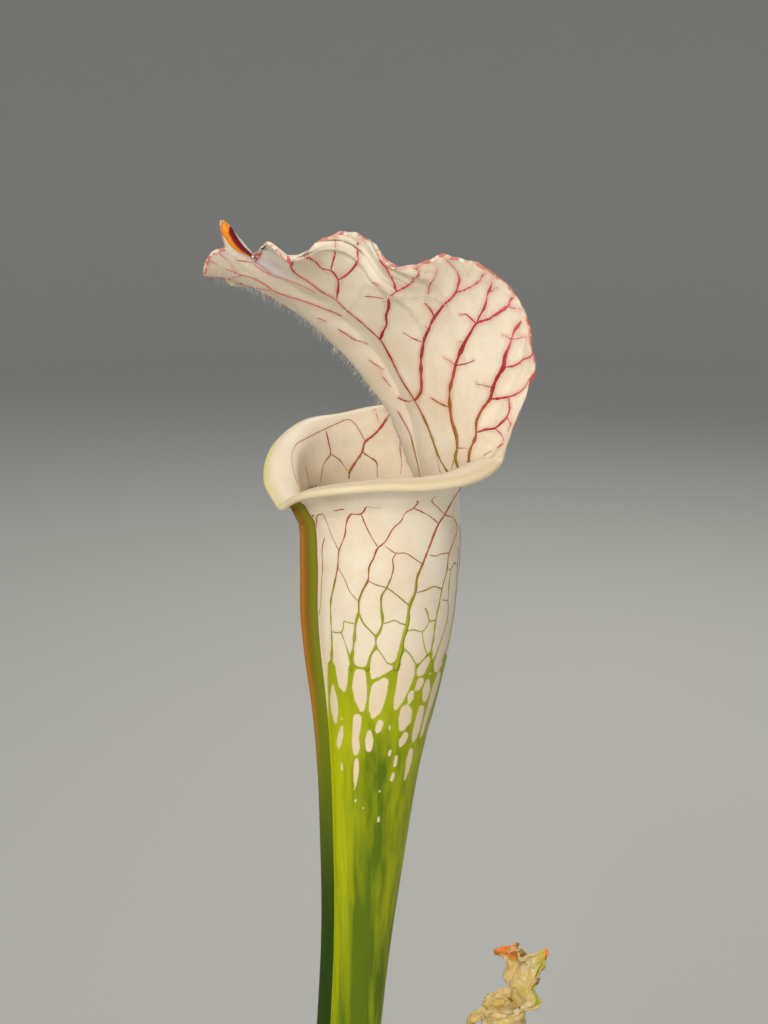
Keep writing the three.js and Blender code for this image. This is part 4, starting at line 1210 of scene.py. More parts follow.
@dataclass
class VeinNet:
    """The net of veins: the lines that the photograph shows, and mirror images where it shows none."""

    form: PitcherForm
    eye: PhotoEye
    hood_half: float = 0.38
    tube_half: float = 0.2
    facing: float = 65.0
    hidden_by: float = 2.5
    cell: float = 3.0
    table: tuple[int, int] = (300, 400)
    grid: int = 220
    least_turn: float = 60.0
    even_weight: float = 0.56
    carry_end: float = 1.6
    reach: float = 5.0
    batch: int = 1200
    lowest: float = -44.0
    swell: float = 1.28
    veins: list[Vein] = field(default_factory=list)

    def grow(self) -> None:
        """Fills the net."""
        place, row = np.linspace(0, 1, 600), np.linspace(-12, 8, 600)
        points = self.form.world(self.form.sheet(place, np.repeat(row[:, None], len(place), 1)))
        pixels, depth = self.eye.project(points.reshape(-1, 3))
        self.nearest = np.full(self.table[::-1], np.inf)
        column, line = self._cell(pixels)
        np.minimum.at(self.nearest, (line, column), depth)
        for reading in READINGS:
            self._trace(reading)
        log.info("veins: %d", len(self.veins))

    def _cell(self, pixels: Array) -> tuple[Array, Array]:
        """Returns the cell of the depth table that each pixel lies in, as column and line."""
        index = np.floor(pixels / self.cell).astype(int)
        return np.clip(index[..., 0], 0, self.table[0] - 1), np.clip(index[..., 1], 0, self.table[1] - 1)

    def seen(self, points: Array) -> Array:
        """Returns which points the photograph's eye sees."""
        pixels, depth = self.eye.project(points)
        column, line = self._cell(pixels)
        return depth < self.nearest[line, column] + self.hidden_by

    def _locate(self, target: Array, patch: Patch) -> tuple[Array, Array]:
        """Returns the place and row on a patch that each pixel shows, the nearer where there are two."""
        first, last, low, high = patch.value
        place, row = np.meshgrid(np.linspace(first, last, self.grid), np.linspace(low, high, self.grid))
        points = self.form.world(self.form.sheet(place[0], row))
        pixels, depth = self.eye.project(points.reshape(-1, 3))
        best = []
        for some in np.array_split(target, len(target) // 100 + 1):
            away = np.linalg.norm(some[:, None] - pixels[None], axis=-1)
            close = away < away.min(1, keepdims=True) + 1.4
            best.append(np.where(close, depth[None], np.inf).argmin(1))
        found = np.concatenate(best)
        place, row = place.ravel()[found], row.ravel()[found]
        for _ in range(4):
            place, row = self._refine(target, place, row)
        return np.clip(place, first, last), np.clip(row, low, high)

    def _refine(self, target: Array, place: Array, row: Array) -> tuple[Array, Array]:
        """Returns places and rows moved by one Newton step towards their pixels."""
        aside, down = 0.0012, 0.02
        here = self._pixels(place, row)
        by_place = (self._pixels(place + aside, row) - here) / aside
        by_row = (self._pixels(place, row - down) - here) / -down
        miss = target - here
        det = by_place[:, 0] * by_row[:, 1] - by_place[:, 1] * by_row[:, 0]
        det = np.where(np.abs(det) < self.least_turn, np.inf, det)
        move_place = (miss[:, 0] * by_row[:, 1] - miss[:, 1] * by_row[:, 0]) / det
        move_row = (by_place[:, 0] * miss[:, 1] - by_place[:, 1] * miss[:, 0]) / det
        return place + np.clip(move_place, -0.003, 0.003), row + np.clip(move_row, -0.03, 0.03)

    def _pixels(self, place: Array, row: Array) -> Array:
        """Returns the pixels of pairs of place and row."""
        return self.eye.project(self.form.world(self.form.sheet(place, row[None, :]))[0])[0]

    def _trace(self, reading: Reading) -> None:
        """Adds a reading's lines, laid on the sheet, and their images where the eye sees nothing."""
        lines = [reading.pixels(line) for line in reading.lines]
        place, row = self._locate(np.concatenate(lines), reading.patch)
        points, normals = self.form.at(place, row)
        height = points[:, 2] - self.form.mouth[2]
        ends = np.cumsum([0] + [len(pixels) for pixels in lines])
        weight = np.repeat([line[0] for line in reading.lines], np.diff(ends))
        thin = np.concatenate([self._taper(len(pixels), line[0])
                               for pixels, line in zip(lines, reading.lines)])
        if reading.patch is Patch.TUBE:
            half = weight * (self.tube_half + 0.0045 * np.clip(-height, 0, 60)) * thin
            shade = 0.44 * rise(height, -26, 2)
            image_points, image_normals = self.tube_image(points)
            keep = (height < -4) & ~self.seen(image_points)
        else:
            half = weight * self.hood_half * lerp(1.0, 0.62, rise(row, 6, 8)) * thin
            shade = self._hood_shade(reading.patch, place, row)
            image_points, image_normals = self.form.at(1 - place + 0.004 * np.sin(row * 5), row)
            keep = ~self.seen(image_points)
        for span in (slice(first, last) for first, last in zip(ends[:-1], ends[1:])):
            self.veins.append(Vein(points[span], normals[span], half[span], shade[span]))
            image = Vein(image_points[span], image_normals[span], half[span], shade[span])
            self.veins += image.runs(keep[span])
            main = reading.patch is not Patch.TUBE and weight[span.start] >= 0.8
            if main and row[span].min() < 5.4:
                self._carry_down(place[span], row[span], half[span])

    def _taper(self, count: int, weight: float) -> Array:
        """Returns the share of its width along a vein: thin veins end in a point."""
        if weight >= self.even_weight:
            return np.ones(count)
        return np.maximum(smooth((count - 1 - np.arange(count)) / max(count * 0.6, 1)), 0.4)

    def _hood_shade(self, patch: Patch, place: Array, row: Array) -> Array:
        """Returns shades: brown at the lip, crimson to pink at the hood's margin."""
        if patch is Patch.LOBE:
            return 0.26 + 0.2 * rise(row, 3.6, 6)
        side = rise(from_front(place), 0.3, 0.22)
        return np.clip(0.14 + 0.2 * side + 0.84 * rise(row, 4.9, 7.8), 0, 1)

    def tube_image(self, points: Array) -> tuple[Array, Array]:
        """Returns points' images on the tube's other side, and the wall's normals there."""
        angle, height = self.round_tube(points)
        image = 2 * (self.facing + 90) - angle + 5 * np.sin(height / 9 + angle / 40)
        wall = self.form.tube_wall(np.mod(image + 180, 360) - 180, height)
        radians = np.radians(image)
        outward = np.stack([np.cos(radians), np.sin(radians), 0 * radians], -1)
        return self.form.world(wall), self.form.aim(outward)

    def round_tube(self, points: Array) -> tuple[Array, Array]:
        """Returns points' angles in degrees round the tube's axis, and their heights from the mouth."""
        s, c = math.sin(self.form.turn), math.cos(self.form.turn)
        offset = points - np.array(self.form.mouth)
        height = offset[..., 2]
        middle = spline(self.form.axis, height)
        x = c * offset[..., 0] + s * offset[..., 1] - middle[..., 0]
        y = c * offset[..., 1] - s * offset[..., 0] - middle[..., 1]
        return np.degrees(np.arctan2(y, x)), height

    def _carry_down(self, place: Array, row: Array, half: Array) -> None:
        """Carries a main vein of the hood, and its image, down the tube's unseen back."""
        low = int(np.argmin(row))
        for start in (place[low], 1 - place[low]):
            rows = np.linspace(row[low], self.carry_end, 50)
            points, normals = self.form.at(start + 0.006 * np.sin(rows * 2.2), rows)
            shade = 0.4 * rise(points[:, 2] - self.form.mouth[2], -27, 0)
            vein = Vein(points, normals, np.full(len(rows), half[low]), shade)
            self.veins += vein.runs(~self.seen(points))

    def gaps(self, points: Array, spread: float = 0.4) -> tuple[Array, Array]:
        """Returns each point's gap to the nearest vein's edge: plain, and rounded where veins meet.

        The rounded gap is minus the log of the summed exponentials of the gaps to all samples near by.

        Args:
            points: places, one a row, in an order that keeps neighbours together.
            spread: how widely the corners are rounded, in millimetres.

        Returns:
            The plain gaps and the rounded ones, in millimetres.
        """
        samples = np.concatenate([vein.points for vein in self.veins]).astype(np.float32)
        widths = np.concatenate([vein.half for vein in self.veins]).astype(np.float32)
        plain, rounded = np.full((2, len(points)), FAR)
        for start in range(0, len(points), self.batch):
            part = slice(start, start + self.batch)
            some = points[part].astype(np.float32)
            near = ((samples > some.min(0) - self.reach) & (samples < some.max(0) + self.reach)).all(1)
            if not near.any():
                continue
            square = ((some[:, None] - samples[near][None]) ** 2).sum(-1)
            gap = np.sqrt(square) - widths[near][None]
            plain[part] = gap.min(1)
            rounded[part] = -spread * np.log(np.exp(-gap / spread).sum(1) + 1e-9)
        return np.minimum(plain, FAR), np.minimum(rounded + spread * 1.1, FAR)

    def ribbons(self, shell: Shell, wall: float) -> None:
        """Adds the veins' low ridges to both faces: three-sided bars whose lower edges lie in the sheet.

        Args:
            shell: receives the bars.
            wall: thickness of the sheet.
        """
        for vein in self.veins:
            if vein.points[:, 2].max() < self.form.mouth[2] + self.lowest:
                continue
            keep = resample(np.column_stack([vein.points, vein.normals, vein.half, vein.shade]), 0.75)
            points, normals, half, shade = keep[:, :3], unit(keep[:, 3:6]), keep[:, 6], keep[:, 7]
            across = unit(np.cross(normals, np.gradient(points, axis=0)))
            fade = np.minimum(np.arange(len(points)), np.arange(len(points))[::-1])
            knot = 0.35 * np.exp(-fade / 1.5)
            half = self.swell * half * (np.clip(0.5 + fade * 0.3, 0, 1) + knot)
            half = half * (1 + 0.3 * ripple(points, (1.6, 4.2), 3))
            sunk = 0.4 * (1 - rise(points[:, 2] - self.form.mouth[2], -42, -34))
            ridge = 0.05 + 0.12 * np.minimum(half, 0.5)
            for face in (1.0, -1.0):
                level = points + normals * (face * (wall / 2 - 0.05 - sunk))[:, None]
                top = points + normals * (face * (wall / 2 + ridge - sunk))[:, None]
                side = across * half[:, None] * face
                ring = np.stack([level - side, top, level + side], 1)
                shell.rings(ring, shade=np.repeat(shade[:, None], 3, 1))


# The tall pitcher

@dataclass
class TallPitcher:
    """The tall pitcher leaf: its closed sheet, its veins, and the hairs under its hood."""

    form: PitcherForm
    eye: PhotoEye
    foot: float
    cavity_floor: float = -232.0
    quilt: float = 0.3
    # Painted shade and painted light on the low tube: bands by angle round its axis, as middle and width,
    # and for the light a strength. Each front band has a mirror image on the back.
    painted_shade_bands: Table = ((68, 20), (-112, 22))
    painted_light_bands: Table = ((18, 18, 1.0), (-70, 26, 0.7))
    rim_steps: int = 12
    wing_end: float = 0.00662
    hood_start: float = 0.2
    tip_start: float = 0.49
    hairs: int = 6400
    hair_rows: tuple[float, float] = (4.8, 7.95)
    bare_tip: tuple[float, float] = (0.36, 0.49)
    hair_half: float = 0.02
    edge_hair_half: float = 0.025
    horn_places: tuple[float, float] = (0.463, 0.5)
    horn_line: Table = (
        (254, 257.5, 0.2), (249, 254, 0.45), (242, 249.5, 0.8), (235.5, 243.5, 1.1), (231, 237, 1.15),
        (226.8, 230, 1.2), (224.4, 224.5, 1.0), (223.4, 220.5, 0.65),
    )

    def places(self) -> Array:
        """Returns the columns' places: closest at the wing, then even along the lip and the hood."""
        wing = np.linspace(0, self.wing_end, 9)
        lip = np.linspace(self.wing_end, self.hood_start, 57)[1:]
        hood = np.linspace(self.hood_start, self.tip_start, 85)[1:]
        tip = np.linspace(self.tip_start, 0.5, 7)[1:]
        return whole_round(np.concatenate([wing, lip, hood, tip]))

    def rows(self) -> tuple[Array, Array]:
        """Returns the rows of the outer face going up and of the inner face going down."""
        form = self.form
        foot_row = (self.foot - form.mouth[2] - form.colour_line) / form.row_drop
        tube = np.concatenate([np.linspace(foot_row, -2.4, 26)[:-1], np.linspace(-2.4, 3.0, 116)[:-1]])
        outer = np.concatenate([tube, np.linspace(3.0, RIM_ROW, 60)[:-1]])
        floor_row = (self.cavity_floor - form.colour_line) / form.row_drop
        inner = np.concatenate([np.linspace(RIM_ROW, 3.0, 56)[:-1], np.linspace(3.0, -1.0, 30)[:-1],
                                np.linspace(-1.0, floor_row, 14)])
        return outer, inner

    def wing_profile(self, place: Array, row: Array) -> tuple[Array, Array]:
        """Returns the wing's width at each point, and its share of the full width there."""
        form = self.form
        across = np.abs(form.rim_angle(place)) * math.pi / 180 * form.wing_radius
        share = 1 - rise(across, 0.3, 1.15)
        below = spline(form.wing, form.height(np.minimum(row, 3.0)))
        width = lerp(below, spline(form.spout_wing, np.maximum(row, 4.0)), rise(row, 3, 4))
        return width * share, share

    def rim_radius(self, place: Array) -> Array:
        """Returns the rim's radius: a fat roll on the lip, and half the sheet's thickness on the hood."""
        form = self.form
        half = from_front(place)
        roll = 1 - rise(half, form.merge_place - 0.03, form.merge_place + 0.03)
        near, far = spline(form.lip_roll, half).T
        return lerp(form.wall / 2, np.where(form.side(place) > 0, near, far), roll)

    def body(self, net: VeinNet) -> Piece:
        """Builds the closed sheet with its values for the finish."""
        form = self.form
        place = self.places()
        outer_rows, inner_rows = self.rows()
        rim = len(outer_rows)
        grid = np.repeat(np.concatenate([outer_rows, inner_rows])[:, None], len(place), 1)
        sheet = form.sheet(place, grid)
        normal = form.normal(form.sheet, place, grid)
        gaps = net.gaps(form.world(sheet).reshape(-1, 3))
        plain, rounded = (gap.reshape(grid.shape) for gap in gaps)
        window = self.window(net, form.world(sheet), rounded)
        hood = rise(from_front(place), 0.205, 0.225)[None, :]
        swell = self.quilt * rise(rounded, 0.1, 2.6)
        swell = swell * (0.25 + 0.75 * hood * rise(grid, 5, 6.5))
        swell = swell * rise(grid, 0.5, 1.5) * rise(grid, RIM_ROW, 7.5)
        sheet = sheet + swell[..., None] * normal
        width, share = self.wing_profile(place[None, :], grid)
        outer = sheet[:rim] + normal[:rim] * (form.wall / 2 + width[:rim, :, None])
        inner = sheet[rim:] - normal[rim:] * (form.wall / 2)
        radius = self.rim_radius(place)
        cap = rolled_rim(sheet[rim], sheet[rim + 1], normal[rim], radius, form.wall, self.rim_steps)
        rings = np.concatenate([outer, cap, inner])

        def spread(values: Array) -> Array:
            """Returns rows of values with the rim's row repeated for the rings that close it."""
            return np.concatenate([values[:rim], values[rim:rim + 1].repeat(len(cap), 0), values[rim:]])

        from_rim = np.linalg.norm(sheet - sheet[rim], axis=-1)
        # Painted shade and painted light on the low tube: a darker stripe down the side that faces the eye,
        # and a lighter band beside it towards the wing, each with a mirror image on the back. The darker
        # stripe goes to the centre value.
        turn = net.round_tube(form.world(sheet))[0]
        low = rise(sheet[..., 2], -42, -66)
        dark = sum(bell(turn, *band) for band in self.painted_shade_bands) * low
        glow = sum(strength * bell(turn, middle, wide) for middle, wide, strength in self.painted_light_bands)
        lip_green = bell(np.mod(place + 0.5, 1), 0.44, 0.05)[None, :] * rise(grid, 7.6, 8)
        spur_face = bell(place, 0.482, 0.016)[None, :] * rise(grid, 7.5, 7.85)
        outside = (np.arange(len(rings)) < rim + len(cap))[:, None]
        shell = Shell()
        shell.rings(
            form.world(rings), gap=spread(plain), window=spread(window),
            rim=spread(np.where((hood > 0.5) & (grid >= 5), from_rim, FAR)),
            roll=spread((1 - hood) * rise(grid, 7.2, 8)), lip_green=spread(lip_green),
            centre=spread(dark) * outside, glow=spread(glow), spur_face=spread(spur_face),
            wing=spread(share * (grid < 7.6)) * outside)
        self.horn(shell)
        solids = ("tall_pitcher_tube", "tall_pitcher_top")
        return shell.build("tall_pitcher", TallLeafFinish().make(), solids)

    def window(self, net: VeinNet, points: Array, rounded: Array) -> Array:
        """Returns how far inside a pale window each point is, in millimetres, and below 0 in green.

        Above, a window is what the net leaves, which shrinks as the veins widen downwards. Below are
        the windows read one by one, with their images on the tube's other side.
        """
        angle, height = net.round_tube(points)
        widen = 0.03 * (np.clip(-15 - height, 0, 90) / 10) ** 2.2 - 0.25 * rise(height, -30, -14)
        left = np.where(height > -9, 3.0, np.minimum(rounded, 3.0) - widen - 8 * rise(height, -33, -38))
        low = height < -30
        shown = points[low]
        hidden = np.abs(np.mod(angle[low] - net.facing + 180, 360) - 180) > 90
        shown[hidden] = net.tube_image(shown[hidden])[0]
        pixels, depth = self.eye.project(shown)
        read = np.full(height.shape, -3.0)
        inside = Windows().inside(pixels) * depth / self.eye.focal_pixels
        read[low] = inside - 3 * rise(height[low], -34, -31)
        return np.clip(np.maximum(left, read), -3, 3)

    def horn(self, shell: Shell) -> None:
        """Adds the horn at the hood's tip: a tapered rod along the spur, read as x, y and half width."""
        form = self.form
        ends = form.world(form.sheet(np.array(self.horn_places), np.full((1, 2), RIM_ROW)))[0]
        start, end = self.eye.project(ends)[1]
        f = np.linspace(0, 1, 44)
        read = np.column_stack([np.linspace(0, 1, len(self.horn_line)), self.horn_line])
        line = spline(read, f)
        path = self.eye.unproject(line[:, :2], lerp(start, end, f) - 0.4)
        half = line[:, 2] * np.minimum(1, 3 * (1 - f) + 0.25)
        along = unit(np.gradient(path, axis=0))
        aside = unit(np.cross(along, self.eye.axes[0]))
        lift = np.cross(aside, along)
        turn = np.linspace(0, 2 * math.pi, 20, endpoint=False)
        cos, sin = np.cos(turn)[None, :, None], np.sin(turn)[None, :, None]
        ring = path[:, None] + half[:, None, None] * (cos * aside[:, None] + 0.9 * sin * lift[:, None])
        side = 0.5 + 0.5 * cos[..., 0] + 0.9 * rise(f, 0.62, 0.92)[:, None]
        side = side - 0.5 * (1 - f)[:, None] ** 2
        shell.rings(ring, window=3.0, gap=FAR, rim=FAR, horn=smooth(f / 0.15)[:, None], horn_side=side)

    def veins(self, net: VeinNet) -> Piece:
        """Builds the raised veins."""
        shell = Shell()
        net.ribbons(shell, self.form.wall)
        return shell.build("tall_pitcher_veins", VeinFinish().make(), ())

    def fringe(self) -> Piece:
        """Builds the hairs under the hood: bent three-sided spikes that lean down its inner face."""
        form = self.form
        draw = np.random.default_rng(11)
        half = np.sqrt(draw.uniform(self.hood_start ** 2, 0.5 ** 2, self.hairs))
        place = np.where(draw.uniform(size=self.hairs) < 0.4, half, 1 - half)
        row = lerp(*self.hair_rows, draw.uniform(size=self.hairs) ** 0.7)
        first, last = self.bare_tip
        row = np.where((place > first) & (place < last), np.minimum(row, 7.0), row)
        root, normal = form.at(place, row)
        lower, _ = form.at(place, row - 0.15)
        down = unit(lower - root)
        away = unit(root - self.eye.position)
        edge = 1 - smooth(np.abs((normal * away).sum(-1)) / 0.3)
        edge = np.maximum(edge, rise(row, 7.4, 7.9))
        length = draw.uniform(0.6, 1.1, self.hairs) * lerp(0.8, 2.3, edge)
        lean = unit(-normal + 0.4 * down + 0.25 * draw.normal(size=(self.hairs, 3)))
        start = root - normal * (form.wall / 2 - 0.1)
        shell = Shell()
        for some, thick in ((edge < 0.5, self.hair_half), (edge >= 0.5, self.edge_hair_half)):
            spikes(shell, start[some], lean[some], length[some], thick, 0.16)
        return shell.build("hood_hairs", HairFinish().make(), ())


# The short pitcher, the flat leaves and what they grow from

@dataclass
class ShortPitcher:
    """The short dry pitcher: the tall one's form at a third of its size, squeezed upright and crumpled."""

    form: PitcherForm = field(default_factory=lambda: PitcherForm(
        mouth=(43.0, 19.0, 262.0), turn=math.radians(192), spur=(-5.0, 0.2, 5.0)))
    scale: float = 0.31
    upright: float = 0.52
    squeeze: Triple = (-5.0, 0.8, -2.2)
    horn_place: float = 0.2905
    horn_spread: float = 0.014
    horn_row: float = 6.6
    wing_end: float = 0.00692
    lip_radius: float = 0.85
    rim_steps: int = 8
    crumple: float = 0.55
    wall: float = 0.75
    funnel: float = 4.0
    stem: Table = (
        (-170.8, 2.1, 36.4, 7.6), (-157, 2.2, 36, 7.5), (-130, 2.6, 29.5, 6.2), (-90, 3.4, 18, 4),
        (-50, 4.3, 8.6, 2), (-24, 5.0, 3.2, 0.7), (-14, 5.3, 1.2, 0.2),
    )

    def flat(self, place: Array, row: Array) -> Array:
        """Returns the sheet before it is crumpled: the tall form shrunk, squeezed upright, and horned."""
        x, y, z = np.moveaxis(self.form.flat(place, row), -1, 0)
        back = (x - self.upright * np.maximum(z - 10, 0)) * self.scale
        share = rise(z, 14, 30)
        middle, keep, shift = self.squeeze
        x = lerp(back, (back - middle) * keep + shift, share)
        x = x + (x + 4.0) * 0.6 * bell(z, 24, 13) * rise(row, 5, 6.5)
        place = np.mod(place, 1.0)
        horn = self.horn(place, row) * rise(row, self.horn_row, RIM_ROW)
        fold = 4.6 * bell(place, 0.5, 0.07) * rise(row, 5.5, 7.5)
        lip = rise(row, 4.4, 6.4) * (1 - rise(from_front(place), 0.15, 0.21))
        far = smooth(-y / 8)
        y = y * self.scale * (1 - 0.45 * share) * (1 - 0.72 * lip)
        z = z * self.scale + 1.8 * horn - (3.0 + 2.2 * far) * lip
        return np.stack([x - 2.6 * horn - fold, y, z], -1)

    def horn(self, place: Array, row: Array) -> Array:
        """Returns how much each point belongs to the horn on the near side."""
        share = rise(row, self.horn_row, RIM_ROW)
        return bell(place, self.horn_place, self.horn_spread) * share

    def sheet(self, place: Array, row: Array) -> Array:
        """Returns the sheet's middle surface, crumpled by waves that depend on a point's place alone."""
        points = self.flat(place, row)
        x, y, z = np.moveaxis(points, -1, 0)
        long = np.sin(1.1 * z + 0.8 * x) * np.cos(0.9 * y - 0.5 * z)
        fine = np.sin(1.9 * y + 1.3 * x + 1) * np.cos(1.7 * z)
        wave = self.form.ruffle(place, row) * 0.5 + self.crumple * rise(z, -6, 2) * (long + 0.25 * fine)
        return points + wave[..., None] * self.form.normal(self.flat, place, row)

    def make(self) -> Piece:
        """Builds the leaf, from the foot of its stem round the rim into its throat."""
        form = self.form
        place = whole_round(np.concatenate([np.linspace(0, self.wing_end, 5),
                                            np.linspace(self.wing_end, 0.2, 40)[1:],
                                            np.linspace(0.2, 0.494, 60)[1:], [0.497, 0.5]]))
        rows = np.linspace(3, RIM_ROW, 90)
        grid = np.repeat(rows[:, None], len(place), 1)
        sheet = self.sheet(place, grid)
        normal = form.normal(self.sheet, place, grid)
        taper = 1 - rise(from_front(place) / self.wing_end, 0.3, 1)
        wing = np.where(rows < 6, 0.9, 0.4)[:, None] * taper
        outer = sheet[:-1] + normal[:-1] * (self.wall / 2 + wing[:-1, :, None])
        down = rows[::-1] >= self.funnel
        funnel = (sheet - normal * (self.wall / 2))[::-1][down]
        radius = np.where(from_front(place) < 0.2, self.lip_radius, self.wall / 2)
        cap = rolled_rim(sheet[-1], sheet[-2], normal[-1], radius, self.wall, self.rim_steps)
        heights = np.linspace(self.stem[0][0], self.stem[-1][0], 70)[:, None]
        size, x, y = np.moveaxis(spline(self.stem, heights), -1, 0)
        reach = size + 0.9 * taper * rise(heights, -170, -140)
        away = unit(sheet[0, :, :2])
        stem = np.stack([x + away[:, 0] * reach, y + away[:, 1] * reach, heights + 0 * reach], -1)
        local = np.concatenate([stem, outer, sheet[-1:].repeat(len(cap), 0), funnel])
        low, top = np.full(len(stem), 2.0), np.full(len(cap), RIM_ROW)
        row = np.concatenate([low, rows[:-1], top, rows[::-1][down]])[:, None]
        crease = bell(ripple(local, (4.5, 9.0), 21), 0, 0.22) * rise(local[..., 2], -14, -6)
        shell = Shell()
        shell.rings(form.world(np.concatenate([stem, outer, cap, funnel])), crease=crease,
                    stem=1 - rise(local[..., 2], -16, 0), horn=self.horn(place, row),
                    tip=bell(place, 0.5, 0.1) * rise(row, 6.6, 7.8),
                    back=bell(place, 0.225, 0.014) * rise(row, 3, 3.6), rim=rise(row, 7, 8))
        finish = ShortLeafFinish().make()
        return shell.build("short_pitcher_skin", finish, ("short_pitcher",))


@dataclass(frozen=True)
class FlatLeaf:
    """One flat leaf: a lens-shaped blade folded along its middle, on a path that leans out and up."""

    name: str
    foot: Triple
    heading: float
    length: float
    width: float
    lean: float
    rings: int = 90
    across: int = 25
    ribs: float = 9.0

    def make(self, finish: Skin) -> Piece:
        """Builds the blade: a closed tube of flat rings with low parallel ribs."""
        turn = math.radians(self.heading)
        out = np.array([math.cos(turn), math.sin(turn), 0.0])
        aside = np.array([-math.sin(turn), math.cos(turn), 0.0])
        f = np.linspace(0, 1, self.rings)[:, None]
        half = self.width / 2 * lerp(0.3, 1.0, smooth(f / 0.35)) * np.sqrt(np.maximum(1 - f ** 3, 0.004))
        thick = lerp(1.3, 0.42, smooth(f / 0.6))
        centre = f[..., None] * np.array([0, 0, self.length]) + out * (self.lean * f * f)[..., None]
        rise = unit(out * (2 * self.lean * f)[..., None] + np.array([0, 0, self.length]))
        face = np.cross(rise, aside)
        u = np.cos(np.linspace(0, math.pi, self.across))
        u = np.concatenate([u, u[-2:0:-1]])[None, :]
        up = np.concatenate([np.ones(self.across), -np.ones(self.across - 2)])[None, :]
        body = thick * np.clip(1 - np.abs(u) ** 5, 0.12, 1) ** 0.5
        line = 0.5 + 0.5 * np.cos(self.ribs * 2 * math.pi * u)
        rib = bell(u, 0, 0.09)
        relief = (0.05 * line + 0.1 * rib) * smooth((1 - np.abs(u)) * 6)
        depth = 0.16 * half * np.abs(u) + up * (body + relief)
        wave = 0.35 * np.sin(9 * f + 2 * self.foot[0]) * u
        points = centre + aside * (half * u)[..., None] + face * (depth + wave)[..., None]
        shell = Shell()
        shell.rings(points[:, ::-1] + np.array(self.foot), line=line[:, ::-1], rib=rib[:, ::-1],
                    edge=np.abs(u[:, ::-1]), tip=f)
        return shell.build(self.name + "_skin", finish, (self.name,))


FLAT_LEAVES = (
    FlatLeaf("flat_leaf_1", (1.5, -8.0, 91.2), -68, 118, 9.5, 46),
    FlatLeaf("flat_leaf_2", (-3.0, 8.4, 91.2), 118, 104, 8.6, 40),
    FlatLeaf("flat_leaf_3", (12.6, -2.2, 91.2), -18, 88, 7.8, 44),
)

PITCHER_FEET = ((-6.7, -0.4, 3.8), (9.0, 4.0, 2.8))


def pebble() -> tuple[Array, Array]:
    """Returns a round stone's points and triangles: an eight-sided body split once and rounded."""
    points = [sign * axis for axis in np.eye(3) for sign in (1.0, -1.0)]
    faces = [(0, 2, 4), (2, 1, 4), (1, 3, 4), (3, 0, 4), (2, 0, 5), (1, 2, 5), (3, 1, 5), (0, 3, 5)]
    middles: dict[tuple[int, int], int] = {}

    def middle(a: int, b: int) -> int:
        """Returns the number of the point halfway between two, made once."""
        key = (min(a, b), max(a, b))
        if key not in middles:
            middles[key] = len(points)
            points.append(unit(points[a] + points[b]))
        return middles[key]

    split = []
    for a, b, c in faces:
        ab, bc, ca = middle(a, b), middle(b, c), middle(c, a)
        split += [(a, ab, ca), (ab, b, bc), (ca, bc, c), (ab, bc, ca)]
    return np.array(points), np.array(split)


def scatter(shell: Shell, centres: Array, size: Array, draw: np.random.Generator, **values: Any) -> None:
    """Adds rough little stones, each stretched and turned its own way.

    Args:
        shell: receives them.
        centres: their places, one a row.
        size: half their length, one a stone.
        draw: the seeded source of their shapes.
        **values: numbers for all their points.
    """
    points, faces = pebble()
    count = len(centres)
    rough = 1 + 0.22 * draw.normal(size=(count, len(points), 1))
    stretch = draw.uniform(0.45, 1.0, (count, 1, 3))
    first = unit(draw.normal(size=(count, 3)))
    second = unit(np.cross(first, draw.normal(size=(count, 3))))
    axes = np.stack([first, second, np.cross(first, second)], 1)
    stones = np.einsum("cpk,ckx->cpx", points[None] * rough * stretch, axes) * size[:, None, None]
    index = faces[None] + (np.arange(count) * len(points))[:, None, None]
    shell.add(centres[:, None] + stones, [index.reshape(-1, 3)], **values)


